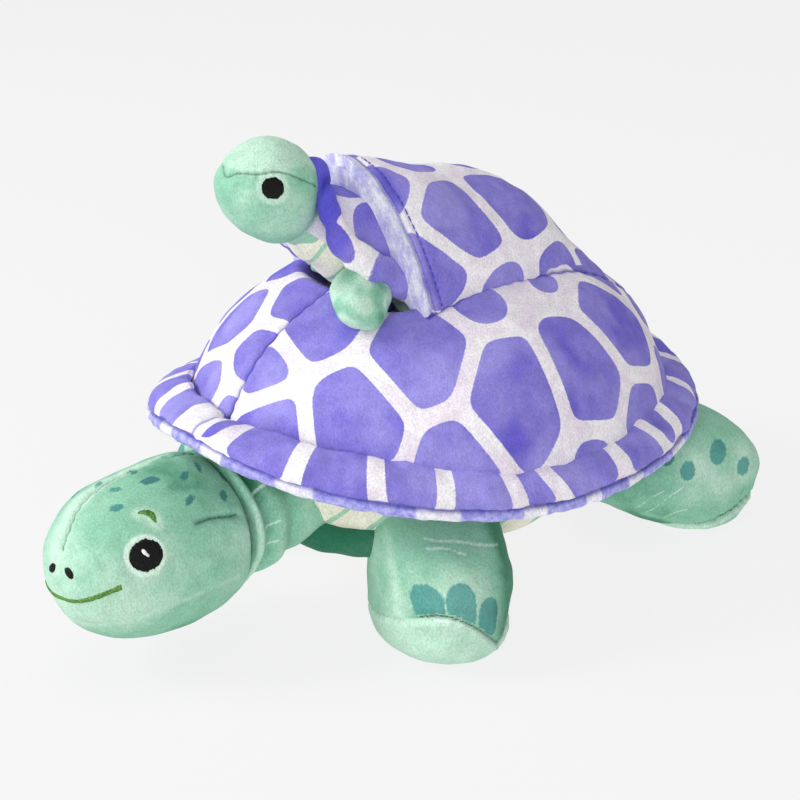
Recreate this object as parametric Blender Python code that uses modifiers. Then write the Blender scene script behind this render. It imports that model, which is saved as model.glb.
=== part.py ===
"""A plush mother turtle that carries a plush baby turtle in a hooded pocket on her back.

Every piece is a stuffed or sewn form of short-pile fabric, made as its own solid. A stuffed form
starts as a coarse sphere cage whose rings are moved to the sections of the sewn panel, and a
Subdivision Surface rounds it. Smaller forms are cut by the larger ones they are sewn to.

Frame: metres, +Z up, the floor at Z 0. Both turtles face -Y and their left side is +X.
The baby has a frame of its own, tipped up on the mother's back: see baby_point.
"""

import math

import bmesh
import bpy
from mathutils import Matrix, Vector
from mathutils.bvhtree import BVHTree

# Gaps and allowances
SEWN_GAP = 0.0003
JOINT_GAP = 0.0014
CUT_OVERRUN = 0.02
FLOOR_CUT = 0.0005
EMBROIDERY_RISE = 0.0009
EMBROIDERY_DEPTH = 0.004

# Mother's shell: a superellipsoid dome on a flat base
SHELL_CENTRE_Y = 0.0277
SHELL_LENGTH = 0.243
SHELL_WIDTH = 0.211
SHELL_BASE_Z = 0.068
SHELL_RISE = 0.0865
SHELL_POWER = 2.12

# Padded brim round the shell: a ring whose front and rear are lifted over neck and tail
BRIM_CENTRE_Y = 0.0277
BRIM_LENGTH = 0.252
BRIM_BREADTH = 0.212
BRIM_WIDTH = 0.021
BRIM_THICKNESS = 0.0125
BRIM_SIDE_Z = 0.0765
BRIM_FRONT_LIFT = 0.021
BRIM_REAR_LIFT = 0.004
BRIM_TILT = math.radians(33)
EDGE_ROLL_RADIUS = 0.0024

# Belly below the shell, and the green bands across the chest
BELLY_CENTRE_Y = 0.0297
BELLY_LENGTH = 0.208
BELLY_WIDTH = 0.176
BELLY_BOTTOM_Z = 0.015
CHEST_BAND_RADIUS = 0.0085
CHEST_BAND_Z = 0.041
CHEST_BAND_REACH_SHARE = 0.85

# Hood over the pocket
HOOD_MOUTH_Y = -0.0233
HOOD_REAR_Y = 0.139
HOOD_WIDTH = 0.096
HOOD_RIDGE_Z = 0.204
HOOD_THICKNESS = 0.003
HOOD_SEAT = 0.006
HOOD_MOUTH_RAKE = 0.010
HEM_WIDTH = 0.009
HEM_THICKNESS = 0.0038

# Pocket cut into the shell under the hood, along the baby's axis
POCKET_WIDTH = 0.088
POCKET_FLOOR_U = -0.0265
POCKET_ROOF_U = 0.034
POCKET_DEPTH = 0.106
POCKET_REACH = 0.120

# Mother's neck and head. The head is turned to her left and cocked to her right.
NECK_ROOT_RADIUS = 0.044
NECK_ROOT_HALF_HEIGHT = 0.0275
NECK_PIVOT_Y = -0.0533
NECK_PIVOT_Z = 0.0555
NECK_LENGTH = 0.066
NECK_SWING = math.radians(13)
HEAD_BALL_Y = -0.1163
HEAD_BALL_Z = 0.050
HEAD_RADIUS = 0.0372
HEAD_SNOUT = 0.063
HEAD_YAW = math.radians(5.5)
HEAD_ROLL = math.radians(-9)
HEAD_NOD_ANGLES = [math.radians(angle) for angle in (-8, 3.5, 15)]
EYE_DIAMETER = 0.0160
BROW_WIDTH = 0.0024
NOSTRIL_WIDTH = 0.0032
NOSTRIL_HEIGHT = 0.0052
MOUTH_WIDTH = 0.0026

# Places on the head as yaw and pitch from the centre of its ball, in degrees, on its left side
EYE_AIM = (38, 11.5)
NOSTRIL_AIM = (4.6, 5)
BROW_AIMS = ((34, 34), (38, 35.5), (42, 34), (45.5, 28))
MOUTH_AIMS = ((0, -7.2), (6, -6.8), (13, -5), (20, -3), (27, -2))

# Mother's legs, each about an upright hinge at its hip and stretched outward to the foot
FRONT_HIP_X = 0.063
FRONT_HIP_Y = -0.0213
FRONT_HEADING = math.radians(-26)
FRONT_RADIUS = 0.0315
FRONT_TOP_Z = 0.0630
FRONT_SOLE_Z = 0.0125
HIND_HIP_X = 0.044
HIND_HIP_Y = 0.1072
HIND_HEADING = math.radians(66)
HIND_RADIUS = 0.0300
HIND_TOP_Z = 0.0600
HIND_SOLE_Z = 0.0075
SOLE_TILT = math.radians(9)
LEG_SWING = math.radians(12)

# Tail
TAIL_LENGTH = 0.040
TAIL_RADIUS = 0.012
TAIL_Z = 0.052

# Baby turtle, in its own frame: forward from the head's centre, up square to that
BABY_HEAD_Y = -0.0613
BABY_HEAD_Z = 0.195
BABY_PITCH = math.radians(36.5)
BABY_HEAD_RADIUS = 0.0222
BABY_HEAD_SNOUT = 0.0235
BABY_HEAD_DROOP = math.radians(18)
BABY_NOD_ANGLES = [math.radians(angle) for angle in (-10, 0, 10)]
BABY_EYE_DIAMETER = 0.0100
BABY_EYE_AIM = (61, 30)
BABY_NECK_RADIUS = 0.0145
BABY_NECK_BACK = 0.034
BABY_SHELL_FRONT = 0.016
BABY_SHELL_LENGTH = 0.072
BABY_SHELL_WIDTH = 0.060
BABY_SHELL_BASE_U = -0.0075
BABY_SHELL_RISE = 0.0290
BABY_BRIM_RADIUS = 0.0052
BABY_BRIM_LIFT = 0.0235
BABY_BELLY_LENGTH = 0.066
BABY_BELLY_WIDTH = 0.052
BABY_BELLY_DROP = 0.0170
# Its feet: across, forward and up of the root on the belly, then of the tip. The right one is tucked in.
LEFT_FOOT_ROOT = (0.012, -0.057, -0.010)
LEFT_FOOT_TIP = (0.042, -0.042, -0.030)
LEFT_FOOT_WIDTH = 0.026
LEFT_FOOT_THICKNESS = 0.023
RIGHT_FOOT_ROOT = (-0.012, -0.070, -0.008)
RIGHT_FOOT_TIP = (-0.034, -0.055, -0.017)
HIND_FOOT_ROOT = (0.010, -0.078, -0.006)
HIND_FOOT_TIP = (0.026, -0.093, -0.015)
TUCKED_FOOT_WIDTH = 0.018
TUCKED_FOOT_THICKNESS = 0.014

# Shares that several forms use: how wide the flat side of a dome's cage is drawn, and how far the
# hood's outline runs towards its closed end.
BASE_RIM_SHARE = 0.94
HOOD_CLOSE_SHARE = 0.97
HOOD_PLAN_POWER = 3.2
HOOD_ARCH_POWER = 1.75
POCKET_CORNER_POWER = 3

# Sections of the stuffed forms, ring by ring, as shares of the sizes above.
# Each row: place along the form, half width, half height above, half height below.
HEAD_SECTION_SHARES = (
    (0.0, 1.0, 1.0, 1.0),
    (0.34, 0.985, 0.975, 0.985),
    (0.64, 0.87, 0.84, 0.88),
    (0.88, 0.62, 0.57, 0.64),
    (0.985, 0.30, 0.27, 0.32),
)
NECK_SECTION_SHARES = (
    (0.26, 0.97, 0.98, 1.02),
    (0.52, 0.86, 0.97, 1.08),
    (0.76, 0.76, 0.95, 1.14),
    (0.94, 0.66, 0.84, 1.05),
)
TAIL_SECTION_SHARES = (
    (0.08, 0.80, 0.80, 0.80),
    (0.45, 0.95, 0.95, 0.95),
    (0.88, 0.42, 0.42, 0.42),
)
BABY_BELLY_SECTION_SHARES = (
    (0.06, 0.56, 0.78, 0.76),
    (0.36, 0.86, 0.93, 0.95),
    (0.70, 1.0, 1.0, 1.0),
    (0.95, 0.62, 0.62, 0.62),
)
BABY_NECK_SECTION_SHARES = (
    (0.12, 0.82, 0.82, 0.82),
    (0.52, 1.0, 1.0, 1.0),
    (0.94, 0.82, 0.82, 0.82),
)
BABY_HEAD_SECTION_SHARES = (
    (0.0, 1.0, 1.0, 1.0),
    (0.40, 0.93, 0.93, 0.93),
    (0.74, 0.73, 0.72, 0.73),
    (0.93, 0.44, 0.43, 0.44),
)
FOOT_SECTION_SHARES = (
    (0.14, 0.60, 0.62, 0.60),
    (0.56, 1.0, 1.0, 1.0),
    (0.91, 0.70, 0.70, 0.70),
)
# Legs, each row: height, then as shares of the radius how far the ring's middle stands out from the
# hinge, its reach inward, its reach outward, and its half width.
FRONT_LEG_SHARES = (
    (0.97, 0.0, 0.52, 0.60, 0.52),
    (0.80, 0.0, 0.90, 1.28, 0.90),
    (0.46, 0.0, 1.02, 1.68, 1.02),
    (0.20, 0.0, 0.97, 1.66, 0.99),
    (0.05, 0.20, 1.0, 1.28, 0.84),
    (0.0, 0.30, 0.66, 0.90, 0.58),
)
HIND_LEG_SHARES = (
    (0.97, 0.0, 0.52, 1.45, 0.52),
    (0.80, 0.0, 0.90, 2.25, 0.88),
    (0.50, 0.0, 1.0, 2.68, 1.0),
    (0.26, 0.85, 1.42, 1.82, 0.96),
    (0.07, 1.40, 1.05, 1.10, 0.80),
    (0.0, 1.55, 0.68, 0.70, 0.54),
)
# The hood's ridge, as shares of its run from mouth to rear and of its height over the shell base.
RIDGE_SHARES = (
    (0.0, 1.0),
    (0.16, 0.950),
    (0.33, 0.890),
    (0.50, 0.840),
    (0.60, 0.765),
    (0.70, 0.650),
    (0.82, 0.505),
    (1.0, 0.250),
)

# Colours of the fabrics and threads, linear
MINT = (0.30, 0.55, 0.42, 1)
PALE_MINT = (0.48, 0.72, 0.58, 1)
DEEP_GREEN = (0.10, 0.33, 0.24, 1)
CREAM = (0.86, 0.84, 0.70, 1)
LILAC = (0.17, 0.13, 0.60, 1)
PALE_LILAC = (0.60, 0.58, 0.86, 1)
BLUE = (0.06, 0.03, 0.45, 1)
BLACK = (0.01, 0.01, 0.012, 1)
OLIVE = (0.10, 0.28, 0.09, 1)

UP = Vector((0, 0, 1))
SIDES = {"left": 1, "right": -1}


def clear_scene():
    for old in list(bpy.data.objects):
        bpy.data.objects.remove(old)


def new_collection(name):
    made = bpy.data.collections.new(name)
    bpy.context.scene.collection.children.link(made)
    return made


def fabric(name, colour, roughness=0.9, metallic=0.0):
    material = bpy.data.materials.new(name)
    material.use_nodes = True
    shader = material.node_tree.nodes["Principled BSDF"]
    shader.inputs["Base Color"].default_value = colour
    shader.inputs["Roughness"].default_value = roughness
    shader.inputs["Metallic"].default_value = metallic
    return material


def keep(name, bm, where, material=None, rounds=0):
    """Makes the bmesh an object in a collection, smooth shaded, with a Subdivision Surface if rounds is over 0."""
    bmesh.ops.recalc_face_normals(bm, faces=bm.faces)
    closed = all(edge.is_manifold for edge in bm.edges)
    if closed and bm.calc_volume(signed=True) < 0:
        bmesh.ops.reverse_faces(bm, faces=bm.faces)
    mesh = bpy.data.meshes.new(name)
    bm.to_mesh(mesh)
    bm.free()
    mesh.shade_smooth()
    piece = bpy.data.objects.new(name, mesh)
    where.objects.link(piece)
    if rounds:
        soft = piece.modifiers.new("soft", "SUBSURF")
        soft.levels = rounds
        soft.render_levels = rounds
    if material:
        mesh.materials.append(material)
    if where is CUTTERS:
        piece.hide_render = True
        piece.display_type = "WIRE"
    return piece


def cut(piece, *cutters):
    for cutter in cutters:
        modifier = piece.modifiers.new("cut by " + cutter.name, "BOOLEAN")
        modifier.operation = "DIFFERENCE"
        modifier.object = cutter
    return piece


def hinge(name, place, *pieces):
    """An empty on a joint's axis, which carries the pieces that move about it and leaves them in place."""
    pivot = bpy.data.objects.new(name, None)
    pivot.empty_display_size = CUT_OVERRUN
    pivot.location = place
    TOY.objects.link(pivot)
    for piece in pieces:
        piece.parent = pivot
        piece.matrix_parent_inverse = Matrix.Translation(-place)


def ring_share(spokes):
    """How far a cage ring stands outside the subdivided surface, as a share of the surface's radius."""
    return 3 / (2 + math.cos(2 * math.pi / spokes))


def reshaped_sphere(spokes, rings, place):
    """A sphere cage whose points go to place(ring, angle): ring 0 and ring rings are its two poles."""
    bm = bmesh.new()
    bmesh.ops.create_uvsphere(bm, u_segments=spokes, v_segments=rings, radius=1)
    for point in bm.verts:
        polar = math.acos(max(-1.0, min(1.0, point.co.z)))
        ring = round(polar / math.pi * rings)
        point.co = place(ring, math.atan2(point.co.y, point.co.x))
    return bm


def along_form(spokes, start, end, up, stations):
    """A cage along the line from start to end. Each station is (distance, half width, rise, drop)."""
    axis = (start - end).normalized()
    side = up.cross(axis).normalized()
    over = axis.cross(side)
    outer = ring_share(spokes)

    def place(ring, angle):
        if ring == 0:
            return start
        if ring > len(stations):
            return end
        distance, width, rise, drop = stations[ring - 1]
        height = rise if math.sin(angle) > 0 else drop
        middle = start - axis * distance
        return middle + outer * (side * width * math.cos(angle) + over * height * math.sin(angle))

    return reshaped_sphere(spokes, len(stations) + 1, place)


def round_end(radius, half_width, half_height, steps):
    """Stations over the round end of a form, up to its widest place."""
    rows = []
    for step in range(1, steps + 1):
        polar = math.pi / 2 * step / steps
        wide, high = half_width * math.sin(polar), half_height * math.sin(polar)
        rows.append((radius * (1 - math.cos(polar)), wide, high, high))
    return rows


def shell_height(x, y, length, width, rise):
    """Height of the superellipsoid dome over its base at a place in plan, 0 outside its outline."""
    radius = math.hypot(2 * x / width, 2 * y / length)
    return rise * max(0.0, 1 - radius**SHELL_POWER) ** (1 / SHELL_POWER)


def signed_power(value, power):
    return math.copysign(abs(value) ** power, value)


def dome_cage(spokes, rings, length, width, rise, grow, put):
    """A superellipsoid dome on a flat base. put turns (across, along, height) into a point."""
    outer = ring_share(spokes)
    upper = rings - 2

    def place(ring, angle):
        polar = min(ring, upper) / upper * math.pi / 2
        radius = outer * math.sin(polar) ** (2 / SHELL_POWER)
        height = (rise + grow) * math.cos(polar) ** (2 / SHELL_POWER) if ring < upper else 0.0
        if ring > upper:
            radius = (rings - ring) / 2 * BASE_RIM_SHARE
            height = -grow
        across = radius * (width / 2 + grow) * math.cos(angle)
        return put(across, radius * (length / 2 + grow) * math.sin(angle), height)

    return reshaped_sphere(spokes, rings, place)


def ring_cage(turns, sides, centre_line, section):
    """A torus primitive bent along centre_line(angle); section(angle, around) is the offset of its skin."""
    wide_share = 2
    bpy.ops.mesh.primitive_torus_add(
        major_segments=turns, minor_segments=sides, major_radius=wide_share, minor_radius=1
    )
    raw = bpy.context.object
    bm = bmesh.new()
    bm.from_mesh(raw.data)
    bpy.data.objects.remove(raw)
    for point in bm.verts:
        angle = math.atan2(point.co.y, point.co.x)
        around = math.atan2(point.co.z, math.hypot(point.co.x, point.co.y) - wide_share)
        point.co = centre_line(angle) + section(angle, around)
    return bm


def box_cage(low, high):
    bm = bmesh.new()
    bmesh.ops.create_cube(bm, size=1)
    for point in bm.verts:
        point.co = Vector([(a + b) / 2 + c * (b - a) for a, b, c in zip(low, high, point.co)])
    return bm


def tube_cage(name, places, radius, resolution):
    """A closed tube with flat ends along the places, as a bmesh."""
    path = bpy.data.curves.new(name + "_path", "CURVE")
    path.dimensions = "3D"
    path.bevel_depth = radius
    path.bevel_resolution = resolution
    path.use_fill_caps = True
    spline = path.splines.new("POLY")
    spline.points.add(len(places) - 1)
    for point, place in zip(spline.points, places):
        point.co = (*place, 1)
    raw = bpy.data.objects.new(name + "_path", path)
    CUTTERS.objects.link(raw)
    graph = bpy.context.evaluated_depsgraph_get()
    mesh = bpy.data.meshes.new_from_object(raw.evaluated_get(graph))
    bpy.data.objects.remove(raw)
    bm = bmesh.new()
    bm.from_mesh(mesh)
    bmesh.ops.remove_doubles(bm, verts=bm.verts, dist=SEWN_GAP / 3)
    return bm


def baby_point(across, forward, up):
    """A place in the baby's frame, whose origin is the centre of its head, as a place in the model."""
    along = Vector((0, -math.cos(BABY_PITCH), math.sin(BABY_PITCH)))
    over = Vector((0, math.sin(BABY_PITCH), math.cos(BABY_PITCH)))
    return Vector((across, BABY_HEAD_Y, BABY_HEAD_Z)) + along * forward + over * up


clear_scene()
TOY = new_collection("plush_turtle")
CUTTERS = new_collection("cutters")

MINT_PLUSH = fabric("mint_plush", MINT)
PALE_PLUSH = fabric("pale_mint_plush", PALE_MINT)
DEEP_PLUSH = fabric("deep_green_plush", DEEP_GREEN)
CREAM_PLUSH = fabric("cream_plush", CREAM)
SHELL_PLUSH = fabric("lilac_print_plush", LILAC)
HEM_PLUSH = fabric("pale_hem_plush", PALE_LILAC)
ROLL_PLUSH = fabric("blue_roll_plush", BLUE)
BLACK_THREAD = fabric("black_thread", BLACK, 0.55)
OLIVE_THREAD = fabric("olive_thread", OLIVE, 0.6)


# Mother's shell, belly and brim


def shell_dome(name, where, grow=0.0, material=None):
    def put(across, along, height):
        return Vector((across, SHELL_CENTRE_Y + along, SHELL_BASE_Z + height))

    cage = dome_cage(14, 7, SHELL_LENGTH, SHELL_WIDTH, SHELL_RISE, grow, put)
    return keep(name, cage, where, material, 1)


def belly(name, where, grow=0.0, material=None):
    drop = SHELL_BASE_Z - BELLY_BOTTOM_Z

    def put(across, along, height):
        return Vector((across, BELLY_CENTRE_Y + along, SHELL_BASE_Z - SEWN_GAP - height))

    cage = dome_cage(10, 6, BELLY_LENGTH, BELLY_WIDTH, drop - SEWN_GAP, grow, put)
    return keep(name, cage, where, material, 1)


def brim_line(angle):
    """Centre of the brim's section; angle 0 is the turtle's left side and -90 degrees its front."""
    forward = max(0.0, -math.sin(angle))
    backward = max(0.0, math.sin(angle))
    return Vector(
        (
            BRIM_BREADTH / 2 * math.cos(angle),
            BRIM_CENTRE_Y + BRIM_LENGTH / 2 * math.sin(angle),
            BRIM_SIDE_Z + BRIM_FRONT_LIFT * forward**2 + BRIM_REAR_LIFT * backward**2,
        )
    )


def brim_axes(angle):
    """The brim section's two directions: down its slope outward, and square to that."""
    outward = Vector((math.cos(angle) / BRIM_BREADTH, math.sin(angle) / BRIM_LENGTH, 0)).normalized()
    slope = outward * math.cos(BRIM_TILT) - UP * math.sin(BRIM_TILT)
    square = outward * math.sin(BRIM_TILT) + UP * math.cos(BRIM_TILT)
    return slope, square


def brim_section(angle, around):
    slope, square = brim_axes(angle)
    return slope * (BRIM_WIDTH / 2) * math.cos(around) + square * (BRIM_THICKNESS / 2) * math.sin(around)


def edge_roll(name, where, grow=0.0, material=None):
    def line(angle):
        slope, square = brim_axes(angle)
        return brim_line(angle) + slope * (BRIM_WIDTH / 2) - square * EDGE_ROLL_RADIUS

    def section(angle, around):
        slope, square = brim_axes(angle)
        radius = EDGE_ROLL_RADIUS + grow
        return (slope * math.cos(around) + square * math.sin(around)) * radius

    return keep(name, ring_cage(30, 4, line, section), where, material)


# Mother's legs

LEGS = {
    "front": {
        "hip": (FRONT_HIP_X, FRONT_HIP_Y),
        "heading": FRONT_HEADING,
        "radius": FRONT_RADIUS,
        "top": FRONT_TOP_Z,
        "sole": FRONT_SOLE_Z,
        "rows": FRONT_LEG_SHARES,
    },
    "hind": {
        "hip": (HIND_HIP_X, HIND_HIP_Y),
        "heading": HIND_HEADING,
        "radius": HIND_RADIUS,
        "top": HIND_TOP_Z,
        "sole": HIND_SOLE_Z,
        "rows": HIND_LEG_SHARES,
    },
}


def leg_axes(which, side):
    """The hip's place on the floor, and the directions out to the foot and square to that."""
    sizes = LEGS[which]
    sign = SIDES[side]
    heading = sizes["heading"]
    hip = Vector((sign * sizes["hip"][0], sizes["hip"][1], 0))
    outward = Vector((sign * math.cos(heading), math.sin(heading), 0))
    return hip, outward, UP.cross(outward)


def polar_reach(ahead, inward, half, angle):
    """Distance from the hinge to the edge of a leg's ring, which is half of one oval and half of another."""
    reach = ahead if math.cos(angle) > 0 else inward
    return 1 / math.hypot(math.cos(angle) / reach, math.sin(angle) / half)


def leg(name, where, which, side, grow=0.0, swing=0.0, material=None):
    """One ring a row, about the upright hinge. With a swing it is the socket that the leg turns in,
    whose ceiling lies as near as a seam."""
    spokes = 12 if swing else 8
    outer = ring_share(spokes)
    sizes = LEGS[which]
    radius, top, rows = sizes["radius"], sizes["top"], sizes["rows"]
    hip, outward, square = leg_axes(which, side)

    def place(ring, angle):
        if ring == 0:
            return hip + UP * (top + min(grow, SEWN_GAP))
        if ring > len(rows):
            return hip + outward * radius * rows[-1][1] - UP * (FLOOR_CUT + grow)
        height, shift, inward, ahead, half = rows[ring - 1]
        middle = hip + UP * ((top + FLOOR_CUT) * height - FLOOR_CUT)
        if swing:
            turns = (angle - swing, angle, angle + swing)
            share = max(polar_reach(ahead + shift, max(inward, half), half, turn) for turn in turns)
            reach = outer * (share * radius + grow)
            return middle + (outward * math.cos(angle) + square * math.sin(angle)) * reach
        reach = ahead if math.cos(angle) > 0 else inward
        along = shift * radius + outer * reach * radius * math.cos(angle)
        return middle + outward * along + square * outer * half * radius * math.sin(angle)

    return keep(name, reshaped_sphere(spokes, len(rows) + 1, place), where, material, 1)


def below_seam(name, which, side, gap):
    """A slab whose top face is the seam between foot and sole, tipped up towards the toes."""
    sizes = LEGS[which]
    hip, outward, square = leg_axes(which, side)
    size = sizes["radius"] * (sizes["rows"][2][3] + 1)
    bm = box_cage((-size, -size, -size), (size, size, 0))
    turn = Matrix((outward, square, UP)).transposed().to_4x4() @ Matrix.Rotation(-SOLE_TILT, 4, "Y")
    centre = hip + outward * sizes["radius"] * sizes["rows"][-1][1] + UP * (sizes["sole"] + gap)
    bmesh.ops.transform(bm, matrix=Matrix.Translation(centre) @ turn, verts=bm.verts)
    return keep(name, bm, CUTTERS)


# Mother's neck and head


def neck_form(name, where, grow=0.0, swing=0.0, material=None):
    """The neck: its rear is an upright spheroid about the hinge, and it draws in to the head's ball."""
    radius = NECK_ROOT_RADIUS + grow
    height = NECK_ROOT_HALF_HEIGHT + min(grow, 2 * SEWN_GAP)
    start = Vector((0, NECK_PIVOT_Y + radius, NECK_PIVOT_Z))
    rows = round_end(radius, radius, height, 3)
    for along, wide, rise, drop in NECK_SECTION_SHARES:
        half_width = radius * wide + NECK_LENGTH * along * math.tan(swing)
        rows.append((radius + NECK_LENGTH * along, half_width, height * rise, height * drop))
    end = radius + NECK_LENGTH
    cage = along_form(10, start, start - Vector((0, end, 0)), UP, rows)
    return keep(name, cage, where, material, 1)


def ball(name, centre, radius):
    bm = bmesh.new()
    bmesh.ops.create_uvsphere(bm, u_segments=20, v_segments=12, radius=radius)
    bmesh.ops.rotate(bm, verts=bm.verts, cent=(0, 0, 0), matrix=Matrix.Rotation(math.pi / 2, 3, "X"))
    bmesh.ops.translate(bm, verts=bm.verts, vec=centre)
    return keep(name, bm, CUTTERS)


def ball_and_snout(spokes, centre, forward, radius, snout, shares, steps):
    """A head: a ball behind, and a snout in front of its centre that runs along forward."""
    rows = round_end(radius, radius, radius, steps)[:-1]
    for along, wide, rise, drop in shares:
        rows.append((radius + snout * along, radius * wide, radius * rise, radius * drop))
    return along_form(spokes, centre - forward * radius, centre + forward * snout, UP, rows)


HEAD_CENTRE = Vector((0, HEAD_BALL_Y, HEAD_BALL_Z))
HEAD_TURN = Matrix.Rotation(HEAD_YAW, 3, "Z") @ Matrix.Rotation(HEAD_ROLL, 3, "Y")


def head_form(name, where, grow=0.0, material=None):
    forward = HEAD_TURN @ Vector((0, -1, 0))
    radius, snout = HEAD_RADIUS + grow, HEAD_SNOUT + grow
    cage = ball_and_snout(10, HEAD_CENTRE, forward, radius, snout, HEAD_SECTION_SHARES, 3)
    return keep(name, cage, where, material, 1)


FLOOR_REACH = SHELL_LENGTH
FLOOR = keep(
    "cut_floor",
    box_cage((-FLOOR_REACH, -FLOOR_REACH, -CUT_OVERRUN), (FLOOR_REACH, FLOOR_REACH, 0)),
    CUTTERS,
)
DOME_CUT = shell_dome("cut_shell", CUTTERS, SEWN_GAP)
BELLY_CUT = belly("cut_belly", CUTTERS, SEWN_GAP)
ROLL_CUT = edge_roll("cut_edge_roll", CUTTERS, SEWN_GAP)
NECK_SOCKET = neck_form("cut_neck_socket", CUTTERS, JOINT_GAP, NECK_SWING)
LEG_SOCKETS = [
    leg(f"cut_{which}_{side}_socket", CUTTERS, which, side, JOINT_GAP, LEG_SWING)
    for which in LEGS
    for side in SIDES
]


def nodding_cutter(name, form, centre, angles):
    """What a head takes up as it nods about centre: a convex hull round the form at each angle."""
    graph = bpy.context.evaluated_depsgraph_get()
    mesh = bpy.data.meshes.new_from_object(form.evaluated_get(graph))
    bm = bmesh.new()
    for angle in angles:
        turn = Matrix.Rotation(-angle, 3, "X")
        for vertex in mesh.vertices:
            bm.verts.new(centre + turn @ (vertex.co - centre))
    bmesh.ops.convex_hull(bm, input=bm.verts)
    bmesh.ops.delete(bm, geom=[point for point in bm.verts if not point.link_faces], context="VERTS")
    return keep(name, bm, CUTTERS)


def pocket_cutter():
    """A tunnel along the baby's axis, boxy in section."""
    middle = (POCKET_FLOOR_U + POCKET_ROOF_U) / 2
    half_height = (POCKET_ROOF_U - POCKET_FLOOR_U) / 2
    bm = bmesh.new()
    bmesh.ops.create_cone(bm, cap_ends=True, segments=16, radius1=1, radius2=1, depth=2)
    for point in bm.verts:
        angle = math.atan2(point.co.y, point.co.x)
        forward = POCKET_REACH if point.co.z > 0 else -POCKET_DEPTH
        across = POCKET_WIDTH / 2 * signed_power(math.cos(angle), 2 / POCKET_CORNER_POWER)
        up = middle + half_height * signed_power(math.sin(angle), 2 / POCKET_CORNER_POWER)
        point.co = baby_point(across, forward, up)
    return keep("cut_pocket", bm, CUTTERS)


POCKET = pocket_cutter()

cut(shell_dome("shell_dome", TOY, 0.0, SHELL_PLUSH), POCKET, NECK_SOCKET)
cut(belly("belly", TOY, 0.0, CREAM_PLUSH), NECK_SOCKET, *LEG_SOCKETS)
brim = keep("shell_brim", ring_cage(30, 5, brim_line, brim_section), TOY, SHELL_PLUSH)
cut(brim, DOME_CUT, ROLL_CUT)
edge_roll("brim_edge_roll", TOY, 0.0, ROLL_PLUSH)


def chest_band(side):
    """The green band from a front leg to the neck: a tube that follows the belly's front."""
    count = 6
    first = math.atan2(FRONT_HIP_Y - BELLY_CENTRE_Y, FRONT_HIP_X)
    last = -math.acos(NECK_ROOT_RADIUS / BELLY_WIDTH)
    places = []
    for index in range(count):
        angle = first + (last - first) * index / (count - 1)
        x = SIDES[side] * CHEST_BAND_REACH_SHARE * BELLY_WIDTH / 2 * math.cos(angle)
        y = BELLY_CENTRE_Y + CHEST_BAND_REACH_SHARE * BELLY_LENGTH / 2 * math.sin(angle)
        places.append((x, y, CHEST_BAND_Z))
    name = f"chest_band_{side}"
    return keep(name, tube_cage(name, places, CHEST_BAND_RADIUS, 2), TOY, DEEP_PLUSH)


for side in SIDES:
    cut(chest_band(side), BELLY_CUT, NECK_SOCKET, *LEG_SOCKETS[:2])


def tail():
    start = Vector((0, BELLY_CENTRE_Y + BELLY_LENGTH / 2 - TAIL_LENGTH / 3, TAIL_Z))
    end = start + Vector((0, TAIL_LENGTH, -TAIL_LENGTH / 3))
    rows = [
        (TAIL_LENGTH * along, TAIL_RADIUS * wide, TAIL_RADIUS * rise, TAIL_RADIUS * drop)
        for along, wide, rise, drop in TAIL_SECTION_SHARES
    ]
    return keep("tail", along_form(6, start, end, UP, rows), TOY, MINT_PLUSH, 1)


cut(tail(), BELLY_CUT, DOME_CUT)


# The hood over the pocket


def share_at(table, place):
    """Straight-line reading of a table of (place, value) shares."""
    for (a, low), (b, high) in zip(table, table[1:]):
        if place <= b:
            return low + (high - low) * (place - a) / (b - a)
    return table[-1][1]


def hood_point(run, turn):
    """Hood skin: run 0 is the mouth and 1 the rear, turn -1 the right seam, 0 the ridge, 1 the left seam."""
    half = HOOD_WIDTH / 2 * (1 - (HOOD_CLOSE_SHARE * run) ** HOOD_PLAN_POWER) ** (1 / HOOD_PLAN_POWER)
    x = half * signed_power(math.sin(turn * math.pi / 2), 2 / HOOD_ARCH_POWER)
    y = HOOD_MOUTH_Y + run * (HOOD_REAR_Y - HOOD_MOUTH_Y) + HOOD_MOUTH_RAKE * turn**2 * (1 - run)
    ridge = (HOOD_RIDGE_Z - SHELL_BASE_Z) * share_at(RIDGE_SHARES, run)
    foot = shell_height(half, y - SHELL_CENTRE_Y, SHELL_LENGTH, SHELL_WIDTH, SHELL_RISE) - HOOD_SEAT
    lift = (ridge - foot) * math.cos(turn * math.pi / 2) ** (2 / HOOD_ARCH_POWER)
    return Vector((x, y, SHELL_BASE_Z + foot + lift))


def hood_sheet(name, first, last, rows, thickness, material):
    """Part of the hood's skin between two runs, as a sheet with a wall."""
    bm = bmesh.new()
    bmesh.ops.create_grid(bm, x_segments=6, y_segments=rows, size=1)
    for point in bm.verts:
        run = first + (last - first) * (point.co.y + 1) / 2
        point.co = hood_point(run, point.co.x)
    piece = keep(name, bm, TOY, material)
    wall = piece.modifiers.new("wall", "SOLIDIFY")
    wall.thickness = thickness
    wall.offset = -1
    soft = piece.modifiers.new("soft", "SUBSURF")
    soft.levels = 1
    soft.render_levels = 1
    return piece


HEM_RUN = HEM_WIDTH / (HOOD_REAR_Y - HOOD_MOUTH_Y)
GAP_RUN = SEWN_GAP / (HOOD_REAR_Y - HOOD_MOUTH_Y)
cut(hood_sheet("shell_hood", HEM_RUN + GAP_RUN, 1, 7, HOOD_THICKNESS, SHELL_PLUSH), DOME_CUT)
cut(hood_sheet("hood_hem", 0, HEM_RUN, 1, HEM_THICKNESS, HEM_PLUSH), DOME_CUT)


# Mother's neck, head and face

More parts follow.
